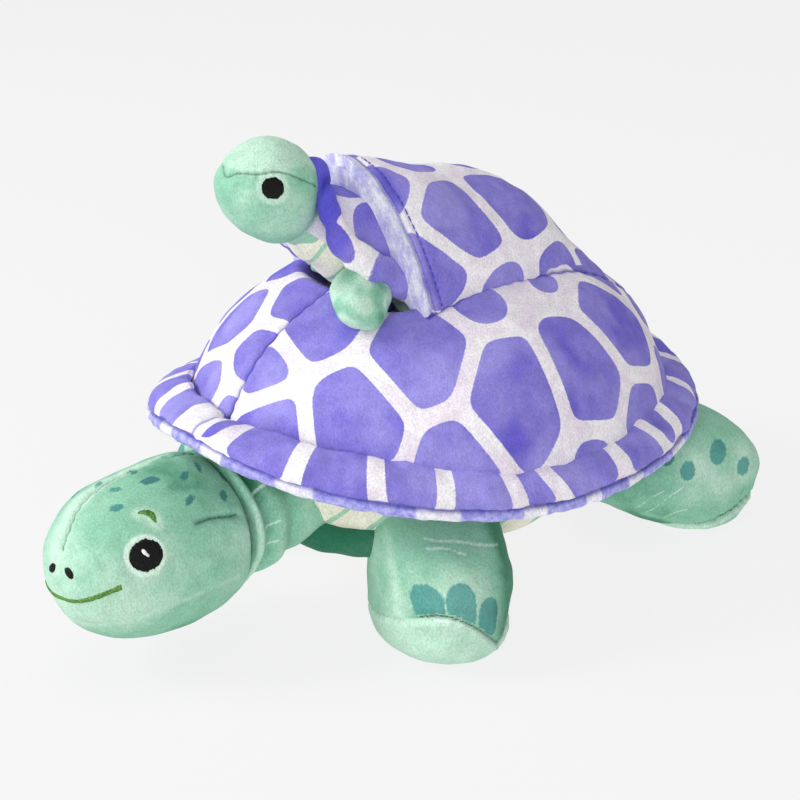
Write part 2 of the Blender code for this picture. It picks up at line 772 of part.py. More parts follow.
HEAD = head_form("head", TOY, 0.0, MINT_PLUSH)
HEAD_CUT = head_form("cut_head", CUTTERS, SEWN_GAP)
HEAD_NODS = nodding_cutter("cut_head_nodding", HEAD_CUT, HEAD_CENTRE, HEAD_NOD_ANGLES)
NECK = cut(neck_form("neck", TOY, 0.0, 0.0, MINT_PLUSH), HEAD_NODS)
hinge("neck_hinge", Vector((0, NECK_PIVOT_Y, NECK_PIVOT_Z)), NECK)


def surface_of(piece):
    """A tree of the finished skin of a piece, to find places on it."""
    graph = bpy.context.evaluated_depsgraph_get()
    return BVHTree.FromObject(piece, graph)


def on_skin(tree, centre, turn, yaw, pitch):
    """The skin's place and direction where the aim from centre meets it. Angles in degrees, yaw 90 is left."""
    yaw, pitch = math.radians(yaw), math.radians(pitch)
    aim = Vector((math.cos(pitch) * math.sin(yaw), -math.cos(pitch) * math.cos(yaw), math.sin(pitch)))
    place, normal, _, _ = tree.ray_cast(centre, turn @ aim)
    return place, normal


def patch(name, place, normal, wide, high, host, material):
    """A flat oval of satin stitch that follows the skin it is sewn on."""
    bm = bmesh.new()
    bmesh.ops.create_cone(
        bm, cap_ends=True, segments=12, radius1=wide / 2, radius2=wide / 2, depth=EMBROIDERY_DEPTH
    )
    bmesh.ops.scale(bm, vec=(1, high / wide, 1), verts=bm.verts)
    side = UP.cross(normal).normalized()
    turn = Matrix((side, normal.cross(side), normal)).transposed().to_4x4()
    lifted = place + normal * (EMBROIDERY_RISE - EMBROIDERY_DEPTH / 2)
    bmesh.ops.transform(bm, matrix=Matrix.Translation(lifted) @ turn, verts=bm.verts)
    return cut(keep(name, bm, TOY, material), host)


def satin_line(name, aims, width, material):
    """A raised line of satin stitch along aims on the head's skin."""
    places = [place + normal * width / 4 for place, normal in map(on_head, aims)]
    return cut(keep(name, tube_cage(name, places, width / 2, 1), TOY, material), HEAD_CUT)


HEAD_SKIN = surface_of(HEAD)


def on_head(aim):
    return on_skin(HEAD_SKIN, HEAD_CENTRE, HEAD_TURN, *aim)


def mirrored(aim, sign):
    return sign * aim[0], aim[1]


FACE = []
for side, sign in SIDES.items():
    eye = on_head(mirrored(EYE_AIM, sign))
    nostril = on_head(mirrored(NOSTRIL_AIM, sign))
    FACE += [
        patch(f"eye_{side}", *eye, EYE_DIAMETER, EYE_DIAMETER, HEAD_CUT, BLACK_THREAD),
        patch(f"nostril_{side}", *nostril, NOSTRIL_WIDTH, NOSTRIL_HEIGHT, HEAD_CUT, BLACK_THREAD),
        satin_line(f"brow_{side}", [mirrored(aim, sign) for aim in BROW_AIMS], BROW_WIDTH, OLIVE_THREAD),
    ]
SMILE = [mirrored(aim, -1) for aim in MOUTH_AIMS[:0:-1]] + list(MOUTH_AIMS)
FACE.append(satin_line("mouth", SMILE, MOUTH_WIDTH, OLIVE_THREAD))
hinge("head_hinge", HEAD_CENTRE, HEAD, *FACE)


# Mother's legs and soles

for which in LEGS:
    for side in SIDES:
        upper = leg(f"{which}_leg_{side}", TOY, which, side, 0.0, 0.0, MINT_PLUSH)
        cut(upper, below_seam(f"cut_{which}_{side}_below_seam", which, side, SEWN_GAP))
        sole = leg(f"{which}_sole_{side}", TOY, which, side, 0.0, 0.0, PALE_PLUSH)
        lower = sole.modifiers.new("below the seam", "BOOLEAN")
        lower.operation = "INTERSECT"
        lower.object = below_seam(f"cut_{which}_{side}_above_seam", which, side, 0.0)
        cut(sole, FLOOR)
        hinge(f"{which}_hip_{side}", leg_axes(which, side)[0], upper, sole)


# The baby turtle

BABY_HEAD_CENTRE = baby_point(0, 0, 0)
BABY_OVER = baby_point(0, 0, 1) - BABY_HEAD_CENTRE
BABY_MIDDLE = BABY_SHELL_FRONT + BABY_SHELL_LENGTH / 2


def baby_shell(name, where, grow=0.0, material=None):
    def put(across, along, height):
        return baby_point(across, -BABY_MIDDLE - along, BABY_SHELL_BASE_U + height)

    cage = dome_cage(10, 5, BABY_SHELL_LENGTH, BABY_SHELL_WIDTH, BABY_SHELL_RISE, grow, put)
    return keep(name, cage, where, material, 1)


def baby_form(name, where, back, length, half_width, rise, drop, shares, grow, material):
    """A stuffed form along the baby's axis that starts at a distance behind its head's centre."""
    rows = [
        ((length + 2 * grow) * along, half_width * wide + grow, rise * high + grow, drop * low + grow)
        for along, wide, high, low in shares
    ]
    start, end = baby_point(0, -back + grow, 0), baby_point(0, -back - length - grow, 0)
    return keep(name, along_form(8, start, end, BABY_OVER, rows), where, material, 1)


def baby_belly(name, where, grow=0.0, material=None):
    back = BABY_SHELL_FRONT + BABY_SHELL_LENGTH - BABY_BELLY_LENGTH
    half = BABY_BELLY_WIDTH / 2
    shares = BABY_BELLY_SECTION_SHARES
    return baby_form(
        name, where, back, BABY_BELLY_LENGTH, half, BABY_NECK_RADIUS, BABY_BELLY_DROP, shares, grow, material
    )


def baby_neck(name, where, grow=0.0, material=None):
    radius = BABY_NECK_RADIUS
    shares = BABY_NECK_SECTION_SHARES
    return baby_form(name, where, 0, BABY_NECK_BACK, radius, radius, radius, shares, grow, material)


def baby_head(name, where, grow=0.0, material=None):
    forward = Vector((0, -math.cos(BABY_HEAD_DROOP), -math.sin(BABY_HEAD_DROOP)))
    radius, snout = BABY_HEAD_RADIUS + grow, BABY_HEAD_SNOUT + grow
    cage = ball_and_snout(8, BABY_HEAD_CENTRE, forward, radius, snout, BABY_HEAD_SECTION_SHARES, 2)
    return keep(name, cage, where, material, 1)


def baby_brim_cage(grow=0.0):
    """The baby shell's padded edge: a ring whose front is lifted behind the head."""
    radius = BABY_BRIM_RADIUS + grow

    def line(angle):
        forward = max(0.0, -math.sin(angle))
        across = (BABY_SHELL_WIDTH + BABY_BRIM_RADIUS) / 2 * math.cos(angle)
        along = -BABY_MIDDLE - (BABY_SHELL_LENGTH + BABY_BRIM_RADIUS) / 2 * math.sin(angle)
        return baby_point(across, along, BABY_SHELL_BASE_U + BABY_BRIM_LIFT * forward**2)

    def section(angle, around):
        outward = baby_point(math.cos(angle), -math.sin(angle), 0) - BABY_HEAD_CENTRE
        return (outward * math.cos(around) + BABY_OVER * math.sin(around)) * radius

    return ring_cage(18, 4, line, section)


def baby_foot(name, root, tip, width, thickness, *cutters):
    """A stuffed foot from its root on the belly to its tip, both places in the baby's frame."""
    start, end = baby_point(*root), baby_point(*tip)
    length = (end - start).length
    rows = [
        (length * along, width / 2 * wide, thickness / 2 * rise, thickness / 2 * low)
        for along, wide, rise, low in FOOT_SECTION_SHARES
    ]
    piece = keep(name, along_form(6, start, end, BABY_OVER, rows), TOY, PALE_PLUSH, 1)
    return cut(piece, BABY_BELLY_CUT, BABY_SHELL_CUT, BABY_BRIM_CUT, *cutters)


def across_midline(place):
    return -place[0], place[1], place[2]


BABY_SHELL_CUT = baby_shell("cut_baby_shell", CUTTERS, SEWN_GAP)
BABY_BELLY_CUT = baby_belly("cut_baby_belly", CUTTERS, SEWN_GAP)
BABY_NECK_CUT = baby_neck("cut_baby_neck", CUTTERS, SEWN_GAP)
BABY_BRIM_CUT = keep("cut_baby_brim", baby_brim_cage(SEWN_GAP), CUTTERS)
BABY_SOCKET = ball("cut_baby_head_socket", BABY_HEAD_CENTRE, BABY_HEAD_RADIUS + JOINT_GAP)
BABY_HEAD_CUT = baby_head("cut_baby_head", CUTTERS, SEWN_GAP)
BABY_NODS = nodding_cutter("cut_baby_head_nodding", BABY_HEAD_CUT, BABY_HEAD_CENTRE, BABY_NOD_ANGLES)

baby_brim = keep("baby_brim", baby_brim_cage(), TOY, SHELL_PLUSH)
BABY = [
    cut(baby_shell("baby_shell", TOY, 0.0, SHELL_PLUSH), BABY_SOCKET),
    cut(baby_belly("baby_belly", TOY, 0.0, CREAM_PLUSH), BABY_SHELL_CUT, BABY_SOCKET),
    cut(baby_neck("baby_neck", TOY, 0.0, MINT_PLUSH), BABY_SHELL_CUT, BABY_BELLY_CUT, BABY_NODS),
    cut(baby_brim, BABY_SHELL_CUT, BABY_BELLY_CUT, BABY_NECK_CUT, BABY_SOCKET),
    baby_foot(
        "baby_front_foot_left", LEFT_FOOT_ROOT, LEFT_FOOT_TIP, LEFT_FOOT_WIDTH, LEFT_FOOT_THICKNESS, DOME_CUT
    ),
]
TUCKED_FEET = (
    ("baby_front_foot_right", RIGHT_FOOT_ROOT, RIGHT_FOOT_TIP),
    ("baby_hind_foot_left", HIND_FOOT_ROOT, HIND_FOOT_TIP),
    ("baby_hind_foot_right", across_midline(HIND_FOOT_ROOT), across_midline(HIND_FOOT_TIP)),
)
for name, root, tip in TUCKED_FEET:
    BABY.append(baby_foot(name, root, tip, TUCKED_FOOT_WIDTH, TUCKED_FOOT_THICKNESS))
hinge("baby_slide_line", BABY_HEAD_CENTRE, *BABY)

BABY_HEAD = baby_head("baby_head", TOY, 0.0, PALE_PLUSH)
BABY_SKIN = surface_of(BABY_HEAD)
BABY_TURN = Matrix.Rotation(BABY_HEAD_DROOP, 3, "X")
BABY_EYES = []
for side, sign in SIDES.items():
    eye = on_skin(BABY_SKIN, BABY_HEAD_CENTRE, BABY_TURN, *mirrored(BABY_EYE_AIM, sign))
    BABY_EYES.append(
        patch(f"baby_eye_{side}", *eye, BABY_EYE_DIAMETER, BABY_EYE_DIAMETER, BABY_HEAD_CUT, BLACK_THREAD)
    )
hinge("baby_head_hinge", BABY_HEAD_CENTRE, BABY_HEAD, *BABY_EYES)
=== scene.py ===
"""The looks of a plush mother turtle with a plush baby turtle in the hooded pocket on her back.

Every piece is a sewn cover of short-pile velboa over polyester filling, worked out with numpy as a
surface of two parameters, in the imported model's frame: +Z up, both turtles face -Y, left is +X.
Shapes here are in millimetres. skin() turns them to metres when it makes the mesh.
"""
import math

import bpy
import numpy as np
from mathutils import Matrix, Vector


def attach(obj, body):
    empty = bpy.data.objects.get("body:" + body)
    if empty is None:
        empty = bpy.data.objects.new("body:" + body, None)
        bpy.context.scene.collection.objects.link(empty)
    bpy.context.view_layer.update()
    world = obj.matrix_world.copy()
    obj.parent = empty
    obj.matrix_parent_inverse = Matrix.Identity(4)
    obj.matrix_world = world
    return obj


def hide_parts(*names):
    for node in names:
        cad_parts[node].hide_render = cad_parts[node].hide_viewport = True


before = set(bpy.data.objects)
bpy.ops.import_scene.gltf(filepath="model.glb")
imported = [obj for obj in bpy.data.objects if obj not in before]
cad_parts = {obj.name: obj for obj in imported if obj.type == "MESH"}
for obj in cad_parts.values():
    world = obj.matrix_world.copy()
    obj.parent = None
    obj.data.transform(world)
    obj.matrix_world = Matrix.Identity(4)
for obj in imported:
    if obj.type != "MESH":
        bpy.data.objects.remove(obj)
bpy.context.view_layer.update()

MM = 0.001
UP = np.array((0.0, 0.0, 1.0))
LEFT = np.array((1.0, 0.0, 0.0))
FORWARD = np.array((0.0, -1.0, 0.0))
SIDES = {"left": 1, "right": -1}

# Shell and belly
SHELL_CENTRE_Y = 27.7
SHELL_LENGTH = 240
SHELL_WIDTH = 208
SHELL_BASE_Z = 68
SHELL_RISE = 86.5
SHELL_POWER = 2.12
BELLY_CENTRE_Y = 29.7
BELLY_LENGTH = 202
BELLY_WIDTH = 170
BELLY_BOTTOM_Z = 16.5

# Padded brim, and the piped roll under its edge
BRIM_LENGTH = 252
BRIM_BREADTH = 212
BRIM_WIDTH = 21.5
BRIM_THICKNESS = 10.5
BRIM_SIDE_Z = 76.5
BRIM_FRONT_LIFT = 21
BRIM_REAR_LIFT = 4
BRIM_TILT = math.radians(33)
ROLL_RADIUS = 3.0
BRIM_PATCH_STEP = 29
NOTCH_TURN = 0.03 - math.pi / 2

# Hood over the pocket
HOOD_MOUTH_Y = -23.3
HOOD_REAR_Y = 139.0
HOOD_WIDTH = 96
HOOD_RIDGE_Z = 204
HOOD_THICKNESS = 3.2
HOOD_SEAT = 6
HOOD_RAKE = 10
HOOD_CLOSE_SHARE = 0.97
HOOD_PLAN_POWER = 3.2
HOOD_ARCH_POWER = 1.75
HEM_WIDTH = 5.8
STITCH_SETBACK = 4.5
RIDGE_SHARES = (
    (0.0, 1.0), (0.16, 0.950), (0.33, 0.890), (0.50, 0.840),
    (0.60, 0.765), (0.70, 0.650), (0.82, 0.505), (1.0, 0.250),
)

# Pocket sunk into the shell along the baby's axis
POCKET_WIDTH = 88
POCKET_FLOOR_U = -26.5
POCKET_ROOF_U = 34
POCKET_DEPTH = 106
POCKET_CORNER_POWER = 3
LIP_RISE = 4.5

# Mother's neck and head
NECK_PIVOT = np.array((0, -53.3, 55.5))
NECK_ROOT_RADIUS = 44
NECK_ROOT_HALF_HEIGHT = 27.5
NECK_LENGTH = 66
HEAD_CENTRE = np.array((0, -116.3, 50.0))
HEAD_RADIUS = 36.2
HEAD_SNOUT = 60
HEAD_YAW = math.radians(5.5)
HEAD_ROLL = math.radians(-9)

# Legs: hip across and along, heading of the foot, radius, top and sole heights
LEGS = {
    "front": {"hip": (63.0, -21.3), "heading": math.radians(-26), "radius": 30.6, "top": 63, "sole": 12.5},
    "hind": {"hip": (44.0, 107.2), "heading": math.radians(66), "radius": 28.8, "top": 60, "sole": 7.5},
}
SOLE_TILT = math.radians(9)
TAIL_LENGTH = 40
TAIL_RADIUS = 12
TAIL_Z = 52

# Baby turtle, whose own frame stands at the centre of its head
BABY_CENTRE = np.array((0, -61.3, 195.0))
BABY_PITCH = math.radians(36.5)
BABY_ALONG = np.array((0, -math.cos(BABY_PITCH), math.sin(BABY_PITCH)))
BABY_OVER = np.array((0, math.sin(BABY_PITCH), math.cos(BABY_PITCH)))
BABY_HEAD_RADIUS = 22.2
BABY_HEAD_SNOUT = 22
BABY_HEAD_DROOP = math.radians(18)
BABY_NECK_RADIUS = 14.5
BABY_NECK_BACK = 34
BABY_SHELL_FRONT = 16
BABY_SHELL_LENGTH = 72
BABY_SHELL_WIDTH = 60
BABY_SHELL_BASE_U = -7.5
BABY_SHELL_RISE = 29
BABY_BRIM_RADIUS = 5.6
BABY_BRIM_LIFT = 23.5
BABY_BELLY_LENGTH = 66
BABY_BELLY_WIDTH = 52
BABY_BELLY_DROP = 19


def through(rows, count, closing=()):
    """count points on a smooth curve through the rows. Each stretch is the cubic whose end slopes are half
    the step between its neighbours (Catmull-Rom). Past each end stands a mirror image of the next row: the
    closing columns change sign there, so a form closes round, and the others run straight on."""
    rows = np.asarray(rows, float)
    first, last = 2 * rows[0] - rows[1], 2 * rows[-1] - rows[-2]
    for column in closing:
        first[column], last[column] = -rows[1, column], -rows[-2, column]
    if closing:
        first[0], last[0] = rows[1, 0], rows[-2, 0]
    rows = np.vstack([first, rows, last])
    place = np.linspace(0, len(rows) - 3, count)
    left = np.minimum(place.astype(int), len(rows) - 4)
    part = (place - left)[:, None]
    a, b, c, d = (rows[left + step] for step in range(4))
    return (
        2 * b + (c - a) * part + (2 * a - 5 * b + 4 * c - d) * part**2 + (3 * b - a - 3 * c + d) * part**3
    ) / 2


def bell(x, width):
    """A smooth bump of height 1 about 0: e to the power of minus (x / width) squared."""
    return np.exp(-((x / width) ** 2))


def circle(count):
    """So many angles, evenly round from 0."""
    return np.linspace(0, 2 * math.pi, count, endpoint=False)


def wrapped(angle):
    """The same angle from minus to plus half a turn."""
    return np.angle(np.exp(1j * angle))


def unit(vectors):
    """Vectors of the same directions with length 1."""
    return vectors / np.maximum(np.linalg.norm(vectors, axis=-1, keepdims=True), 1e-9)


def out_normals(grid):
    """Unit normals of grid[row, spoke], whose spokes join round: the cross product of the step round and
    the step along, turned to the side that points away from the form's middle on the whole."""
    along = np.gradient(grid, axis=0)
    about = np.roll(grid, -1, 1) - np.roll(grid, 1, 1)
    normals = unit(np.cross(about, along))
    outward = ((grid - grid.mean((0, 1))) * normals).sum()
    return normals if outward > 0 else -normals


def lumps(points, size, seed, waves=24):
    """Soft random relief of about -1 to 1: a sum of plane waves about one size long in seeded
    directions."""
    dice = np.random.default_rng(seed)
    ways = unit(dice.normal(size=(waves, 3))) * dice.uniform(0.7, 1.4, (waves, 1)) * 2 * math.pi / size
    phases = dice.uniform(0, 2 * math.pi, waves)
    return sum(np.cos(points @ way + phase) for way, phase in zip(ways, phases)) / math.sqrt(waves)


def near_line(points, line):
    """(distance, how far along) from each point to a line: that of the nearest of its straight
    stretches."""
    gap, place, run = np.full(points.shape[:-1], np.inf), np.zeros(points.shape[:-1]), 0.0
    for a, b in zip(line[:-1], line[1:]):
        step = b - a
        length = max(np.linalg.norm(step), 1e-6)
        share = np.clip((points - a) @ step / length**2, 0, 1)
        this = np.linalg.norm(points - a - share[..., None] * step, axis=-1)
        closer = this < gap
        gap, place = np.where(closer, this, gap), np.where(closer, run + share * length, place)
        run += length
    return gap, place


def seam(points, line, depth, width, pucker, pitch):
    """Relief of a seam: a valley along the line, and small puckers across it that die away to both
    sides."""
    gap, along = near_line(points, line)
    waves = np.sin(2 * math.pi * (along / pitch + 0.4 * np.sin(along / (2.3 * pitch))))
    return -depth * bell(gap, width) + pucker * waves * bell(gap, 2.6 * width)


def bump_at(points, place, radius, height):
    """Relief of a round swelling about a place."""
    return height * bell(np.linalg.norm(points - place, axis=-1), radius)


def smooth_min(a, b, reach):
    """The lesser of two heights, with the corner between them rounded over about one reach."""
    part = np.clip(0.5 + 0.5 * (b - a) / reach, 0, 1)
    return b + (a - b) * part - reach * part * (1 - part)


def ovals(points, places, ways, lengths, breadths):
    """Signed distance in mm into the nearest of some ovals painted on a skin: each has a place, a long way,
    and half its length and breadth."""
    best = np.full(points.shape[:-1], -99.0)
    for place, way, length, breadth in zip(places, ways, lengths, breadths):
        away = points - place
        run = away @ way
        rest = np.linalg.norm(away - run[..., None] * way, axis=-1)
        best = np.maximum(best, breadth * (1 - np.hypot(run / length, rest / breadth)))
    return best


def patch_print(points, patches, gap, corner, stretch=(1, 1, 1)):
    """Signed distance in mm into the nearest patch of the shell print. A patch is (place, radius), and its
    cell is where the squared distance less the squared radius is least. The result is the least distance to
    a cell's borders and to a circle 1.3 radii about its middle, as a soft minimum that rounds the corners,
    less half the gap. stretch draws the cells out one way."""
    flat = (points * stretch).reshape(-1, 3)
    middles = np.array([place for place, _ in patches]) * stretch
    radii = np.array([radius for _, radius in patches])
    power = ((flat[:, None] - middles) ** 2).sum(-1) - radii**2
    own = power.argmin(1)
    apart = np.linalg.norm(middles[None] - middles[:, None], axis=-1)[own]
    border = (power - power.min(1, keepdims=True)) / np.maximum(2 * apart, 1e-6)
    border[np.arange(len(own)), own] = np.inf
    reach = 1.3 * radii[own] - np.linalg.norm(flat - middles[own], axis=1)
    soft = -corner * np.log(np.exp(-border / corner).sum(1) + np.exp(-(reach + gap / 2) / corner))
    return (soft - gap / 2).reshape(points.shape[:-1])


def grid_faces(rows, spokes, round_rows=False):
    """Quads between neighbouring rows and spokes; the spokes join round, and so may the rows."""
    row = np.arange(rows if round_rows else rows - 1)[:, None]
    spoke = np.arange(spokes)[None]
    upper, after = (row + 1) % rows, (spoke + 1) % spokes
    row, upper = row * spokes, upper * spokes
    corners = np.broadcast_arrays(row + spoke, row + after, upper + after, upper + spoke)
    return np.stack(corners, -1).reshape(-1, 4)


def skin(name, grid, material, slot, poles=None, round_rows=False, **channels):
    """A closed mesh over grid[row, spoke] with the channels as attributes. poles are the two points that
    close the ends; without them each end is closed by its own middle."""
    rows, spokes = grid.shape[:2]
    quads = grid_faces(rows, spokes, round_rows)
    points = grid.reshape(-1, 3)
    values = {key: np.broadcast_to(value, (rows, spokes)).ravel() for key, value in channels.items()}
    ends = np.empty((0, 3), int)
    if not round_rows:
        poles = (grid[0].mean(0), grid[-1].mean(0)) if poles is None else poles
        first, last = len(points), len(points) + 1
        points = np.vstack([points, poles])
        spoke = np.arange(spokes)
        after = (spoke + 1) % spokes
        low = np.stack([np.full(spokes, first), after, spoke], -1)
        top = (rows - 1) * spokes
        high = np.stack([np.full(spokes, last), top + spoke, top + after], -1)
        ends = np.vstack([low, high])
        for key, value in values.items():
            values[key] = np.r_[value, value[:spokes].mean(), value[-spokes:].mean()]
    fan = np.vstack([quads[:, [0, 1, 2]], quads[:, [0, 2, 3]], ends])
    a, b, c = (points[fan[:, corner]] for corner in range(3))
    inside_out = (a * np.cross(b, c)).sum() < 0
    if inside_out:
        quads, ends = quads[:, ::-1], ends[:, ::-1]
    mesh = bpy.data.meshes.new(name)
    mesh.vertices.add(len(points))
    mesh.vertices.foreach_set("co", (points * MM).astype(np.float32).ravel())
    mesh.loops.add(quads.size + ends.size)
    mesh.loops.foreach_set("vertex_index", np.r_[quads.ravel(), ends.ravel()].astype(np.int32))
    mesh.polygons.add(len(quads) + len(ends))
    starts = np.r_[np.arange(len(quads)) * 4, quads.size + np.arange(len(ends)) * 3]
    mesh.polygons.foreach_set("loop_start", starts.astype(np.int32))
    mesh.update(calc_edges=True)
    mesh.validate()
    mesh.shade_smooth()
    for key, value in values.items():
        channel = mesh.attributes.new(key, "FLOAT", "POINT")
        channel.data.foreach_set("value", value.astype(np.float32))
    piece = bpy.data.objects.new(name, mesh)
    bpy.context.scene.collection.objects.link(piece)
    mesh.materials.append(material)
    return piece


# What the channels of green velboa say where nothing is printed: a mark or chalk far from any edge.
NO_MARK = -99.0
PLAIN_GREEN = {"tone": 0.0, "mark": NO_MARK, "chalk": NO_MARK, "crease": 0.0}


def cover(piece, body, nodes):
    """Hides the CAD nodes whose place a piece takes, and makes the piece ride their body."""
    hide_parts(*nodes)
    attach(piece, body)


def sewn(name, grid, relief, material, slot, body, nodes, poles=None, round_rows=False, **channels):
    """A stuffed cover: the grid raised by its relief. Returns the raised grid."""
    grid = grid + out_normals(grid) * np.broadcast_to(relief, grid.shape[:2])[..., None]
    if material is GREEN:
        channels = {**PLAIN_GREEN, **channels}
    cover(skin(name, grid, material, slot, poles, round_rows, **channels), body, nodes)
    return grid


def linear(code):
    """A six-figure sRGB colour as linear red, green, blue and 1."""
    parts = [int(code[at : at + 2], 16) / 255 for at in (1, 3, 5)]
    return (*(p / 12.92 if p <= 0.04045 else ((p + 0.055) / 1.055) ** 2.4 for p in parts), 1)


# The kinds of node used: Blender's name, the sockets that values go to in turn, the output, usual settings.
KINDS = {
    "place": ("ShaderNodeTexCoord", (), "Object", {}),
    "stretch": ("ShaderNodeMapping", ("Vector", "Scale"), "Vector", {}),
    "channel": ("ShaderNodeAttribute", (), "Fac", {}),
    "noise": ("ShaderNodeTexNoise", ("Vector", "Scale", "Detail", "Roughness"), "Fac", {}),
    "step": ("ShaderNodeMapRange", (0, 1, 2, 3, 4), "Result", {"interpolation_type": "SMOOTHSTEP"}),
    "maths": ("ShaderNodeMath", (0, 1), 0, {"operation": "ADD"}),
    "mix": ("ShaderNodeMix", (0, 6, 7), 2, {"data_type": "RGBA"}),
    "bump": ("ShaderNodeBump", ("Height", "Strength", "Distance"), 0, {}),
    "glow": ("ShaderNodeEmission", ("Color", "Strength"), 0, {}),
    "blend": ("ShaderNodeMixShader", (0, 1, 2), 0, {}),
}


def grain(size_mm):
    """The scale of a noise whose features are about that many millimetres across."""
    return 1 / (size_mm * MM)


class Fabric:
    """A material under construction, with the place on the object that its patterns read."""

    def __init__(self, name):
        self.material = bpy.data.materials.new(name)
        self.material.use_nodes = True
        self.tree = self.material.node_tree
        self.shader = self.tree.nodes["Principled BSDF"]
        self.place = self.add("place")

    def add(self, kind, *values, **settings):
        """Adds a node of a kind with its settings. Each value in turn goes to a socket: an output is
        linked, and a colour's code becomes linear. Returns the node's output."""
        name, sockets, output, usual = KINDS[kind]
        node = self.tree.nodes.new(name)
        for key, value in {**usual, **settings}.items():
            setattr(node, key, value)
        for socket, value in zip(sockets, values):
            if isinstance(value, bpy.types.NodeSocket):
                self.tree.links.new(value, node.inputs[socket])
            else:
                node.inputs[socket].default_value = linear(value) if isinstance(value, str) else value
        return node.outputs[output]

    def finish(self, colour, **sockets):
        """Gives the shader its colour and its plain numbers, whose names have _ for a space."""
        self.tree.links.new(colour, self.shader.inputs["Base Color"])
        for name, value in sockets.items():
            self.shader.inputs[name.replace("_", " ")].default_value = value
        return self.material

    def pile(self, colour, tint, depth=0.6):
        """Short velboa pile: a nap 0.8 mm fine and the brushed swirls that fingers leave, as bump and as
        light and dark in the colour, under a faint sheen."""
        nap = self.add("noise", self.add("stretch", self.place, (1.0, 1.0, 0.6)), grain(0.8), 2.0, 0.65)
        brushed = self.add("noise", self.place, grain(6), 3.0, 0.6)
        tufts = self.add("maths", nap, 0.8, operation="MULTIPLY")
        swirls = self.add("maths", brushed, 0.9, operation="MULTIPLY")
        bump = self.add("bump", self.add("maths", tufts, swirls), depth, 1.0 * MM)
        self.tree.links.new(bump, self.shader.inputs["Normal"])
        mottled = self.add("maths", self.add("maths", nap, 2.0, operation="MULTIPLY"), brushed)
        worn = self.add("step", mottled, 1.0, 2.0, 0.84, 1.14)
        shade = self.add("mix", 1.0, colour, worn, blend_type="MULTIPLY")
        return self.finish(
            shade, Roughness=0.88, IOR=1.45, Specular_IOR_Level=0.18,
            Sheen_Weight=0.12, Sheen_Roughness=0.45, Sheen_Tint=linear(tint),
        )


def green_velboa():
    """Mint velboa with a washed print: light and dark pools of green, teal marks and pale chalk strokes. The
    green also deepens with painted shade and pales with painted highlights where each piece sets them, and
    painted shade darkens seams and folds."""
    f = Fabric("mint_velboa_print_and_painted_shade")
    pools = f.add("step", f.add("noise", f.place, grain(24), 3, 0.5), 0.3, 0.7, -0.10, 0.10)
    washes = f.add("step", f.add("noise", f.place, grain(8), 3, 0.6), 0.35, 0.75, -0.05, 0.06)
    # The green deepens by the print's washes and by the painted shade and painted highlights that each piece
    # sets.
    depth = f.add("maths", f.add("maths", f.add("channel", attribute_name="tone"), pools), washes)
    colour = f.add("mix", f.add("step", depth, 0.0, 0.5), "#bddfca", "#89c1a5")
    colour = f.add("mix", f.add("step", depth, 0.5, 1.0), colour, "#35805f")
    fray = f.add("step", f.add("noise", f.place, grain(1.6), 2, 0.6), 0.3, 0.7, -0.3, 0.3)
    # The teal marks deepen with the green, in its painted shade too.
    teal = f.add("mix", f.add("step", depth, 0.25, 0.7), "#479490", "#2a6a70")
    mark = f.add("maths", f.add("channel", attribute_name="mark"), fray)
    colour = f.add("mix", f.add("step", mark, -0.4, 0.5, 0.0, 0.85), colour, teal)
    wisps = f.add("maths", fray, 0.4, operation="MULTIPLY")
    chalk = f.add("maths", f.add("channel", attribute_name="chalk"), wisps)
    colour = f.add("mix", f.add("step", chalk, -0.3, 0.3, 0.0, 0.6), colour, "#e2f4ea")
    # Painted shade darkens the seams and folds.
    colour = f.add("mix", f.add("channel", attribute_name="crease"), colour, "#1b4a3d")
    return f.pile(colour, "#e8fff4")


def scute_velboa():
    """Velboa printed with a tortoise's scutes: violet patches, mottled like watercolour and deeper towards
    some edges, on a pale lilac ground. One channel deepens the violet, as painted shade in the pocket and
    inside the hood and as the deep blue of the baby's brim front; painted shade darkens seams and folds."""
    f = Fabric("violet_scute_velboa")
    mottle = f.add("step", f.add("noise", f.place, grain(14), 4, 0.6), 0.3, 0.72)
    violet = f.add("mix", mottle, "#7d73ce", "#9188d8")
    deep = f.add("step", f.add("noise", f.place, grain(34), 2, 0.5), 0.5, 0.7, 0.0, 0.7)
    violet = f.add("mix", deep, violet, "#5a50cb")
    light = f.add("step", f.add("noise", f.place, grain(40), 2, 0.5), 0.36, 0.5, 0.45, 0.0)
    violet = f.add("mix", light, violet, "#aaa4e8")
    blush = f.add("step", f.add("noise", f.place, grain(22), 3, 0.6), 0.4, 0.7)
    ground = f.add("mix", blush, "#f1edf1", "#e8dcea")
    fray = f.add("step", f.add("noise", f.place, grain(1), 2, 0.6), 0.3, 0.7, -0.12, 0.12)
    edge = f.add("maths", f.add("channel", attribute_name="print"), fray)
    colour = f.add("mix", f.add("step", edge, -0.2, 0.25), ground, violet)
    # Deeper violet where a piece sets it: painted shade in the pocket and inside the hood, and the deep blue
    # of the baby's brim front.
    colour = f.add("mix", f.add("channel", attribute_name="tone"), colour, "#5a55d0")
    # Painted shade darkens the seams and folds.
    colour = f.add("mix", f.add("channel", attribute_name="crease"), colour, "#2c28a0")
    return f.pile(colour, "#eef0ff")


def hem_velboa():
    """The hood's turned edge, where the pile stands open: pale blue with violet shadows between the
    tufts."""
    f = Fabric("turned_hem_velboa")
    streaks = f.add("noise", f.add("stretch", f.place, (1.0, 1.0, 0.35)), grain(4), 3, 0.6)
    colour = f.add("mix", f.add("step", streaks, 0.3, 0.7), "#bab8ec", "#f0f1fd")
    # Painted shade darkens the hem at the fold where it meets the hood.
    colour = f.add("mix", f.add("channel", attribute_name="crease"), colour, "#3b35b4")
    return f.pile(colour, "#f4f6ff", depth=0.8)


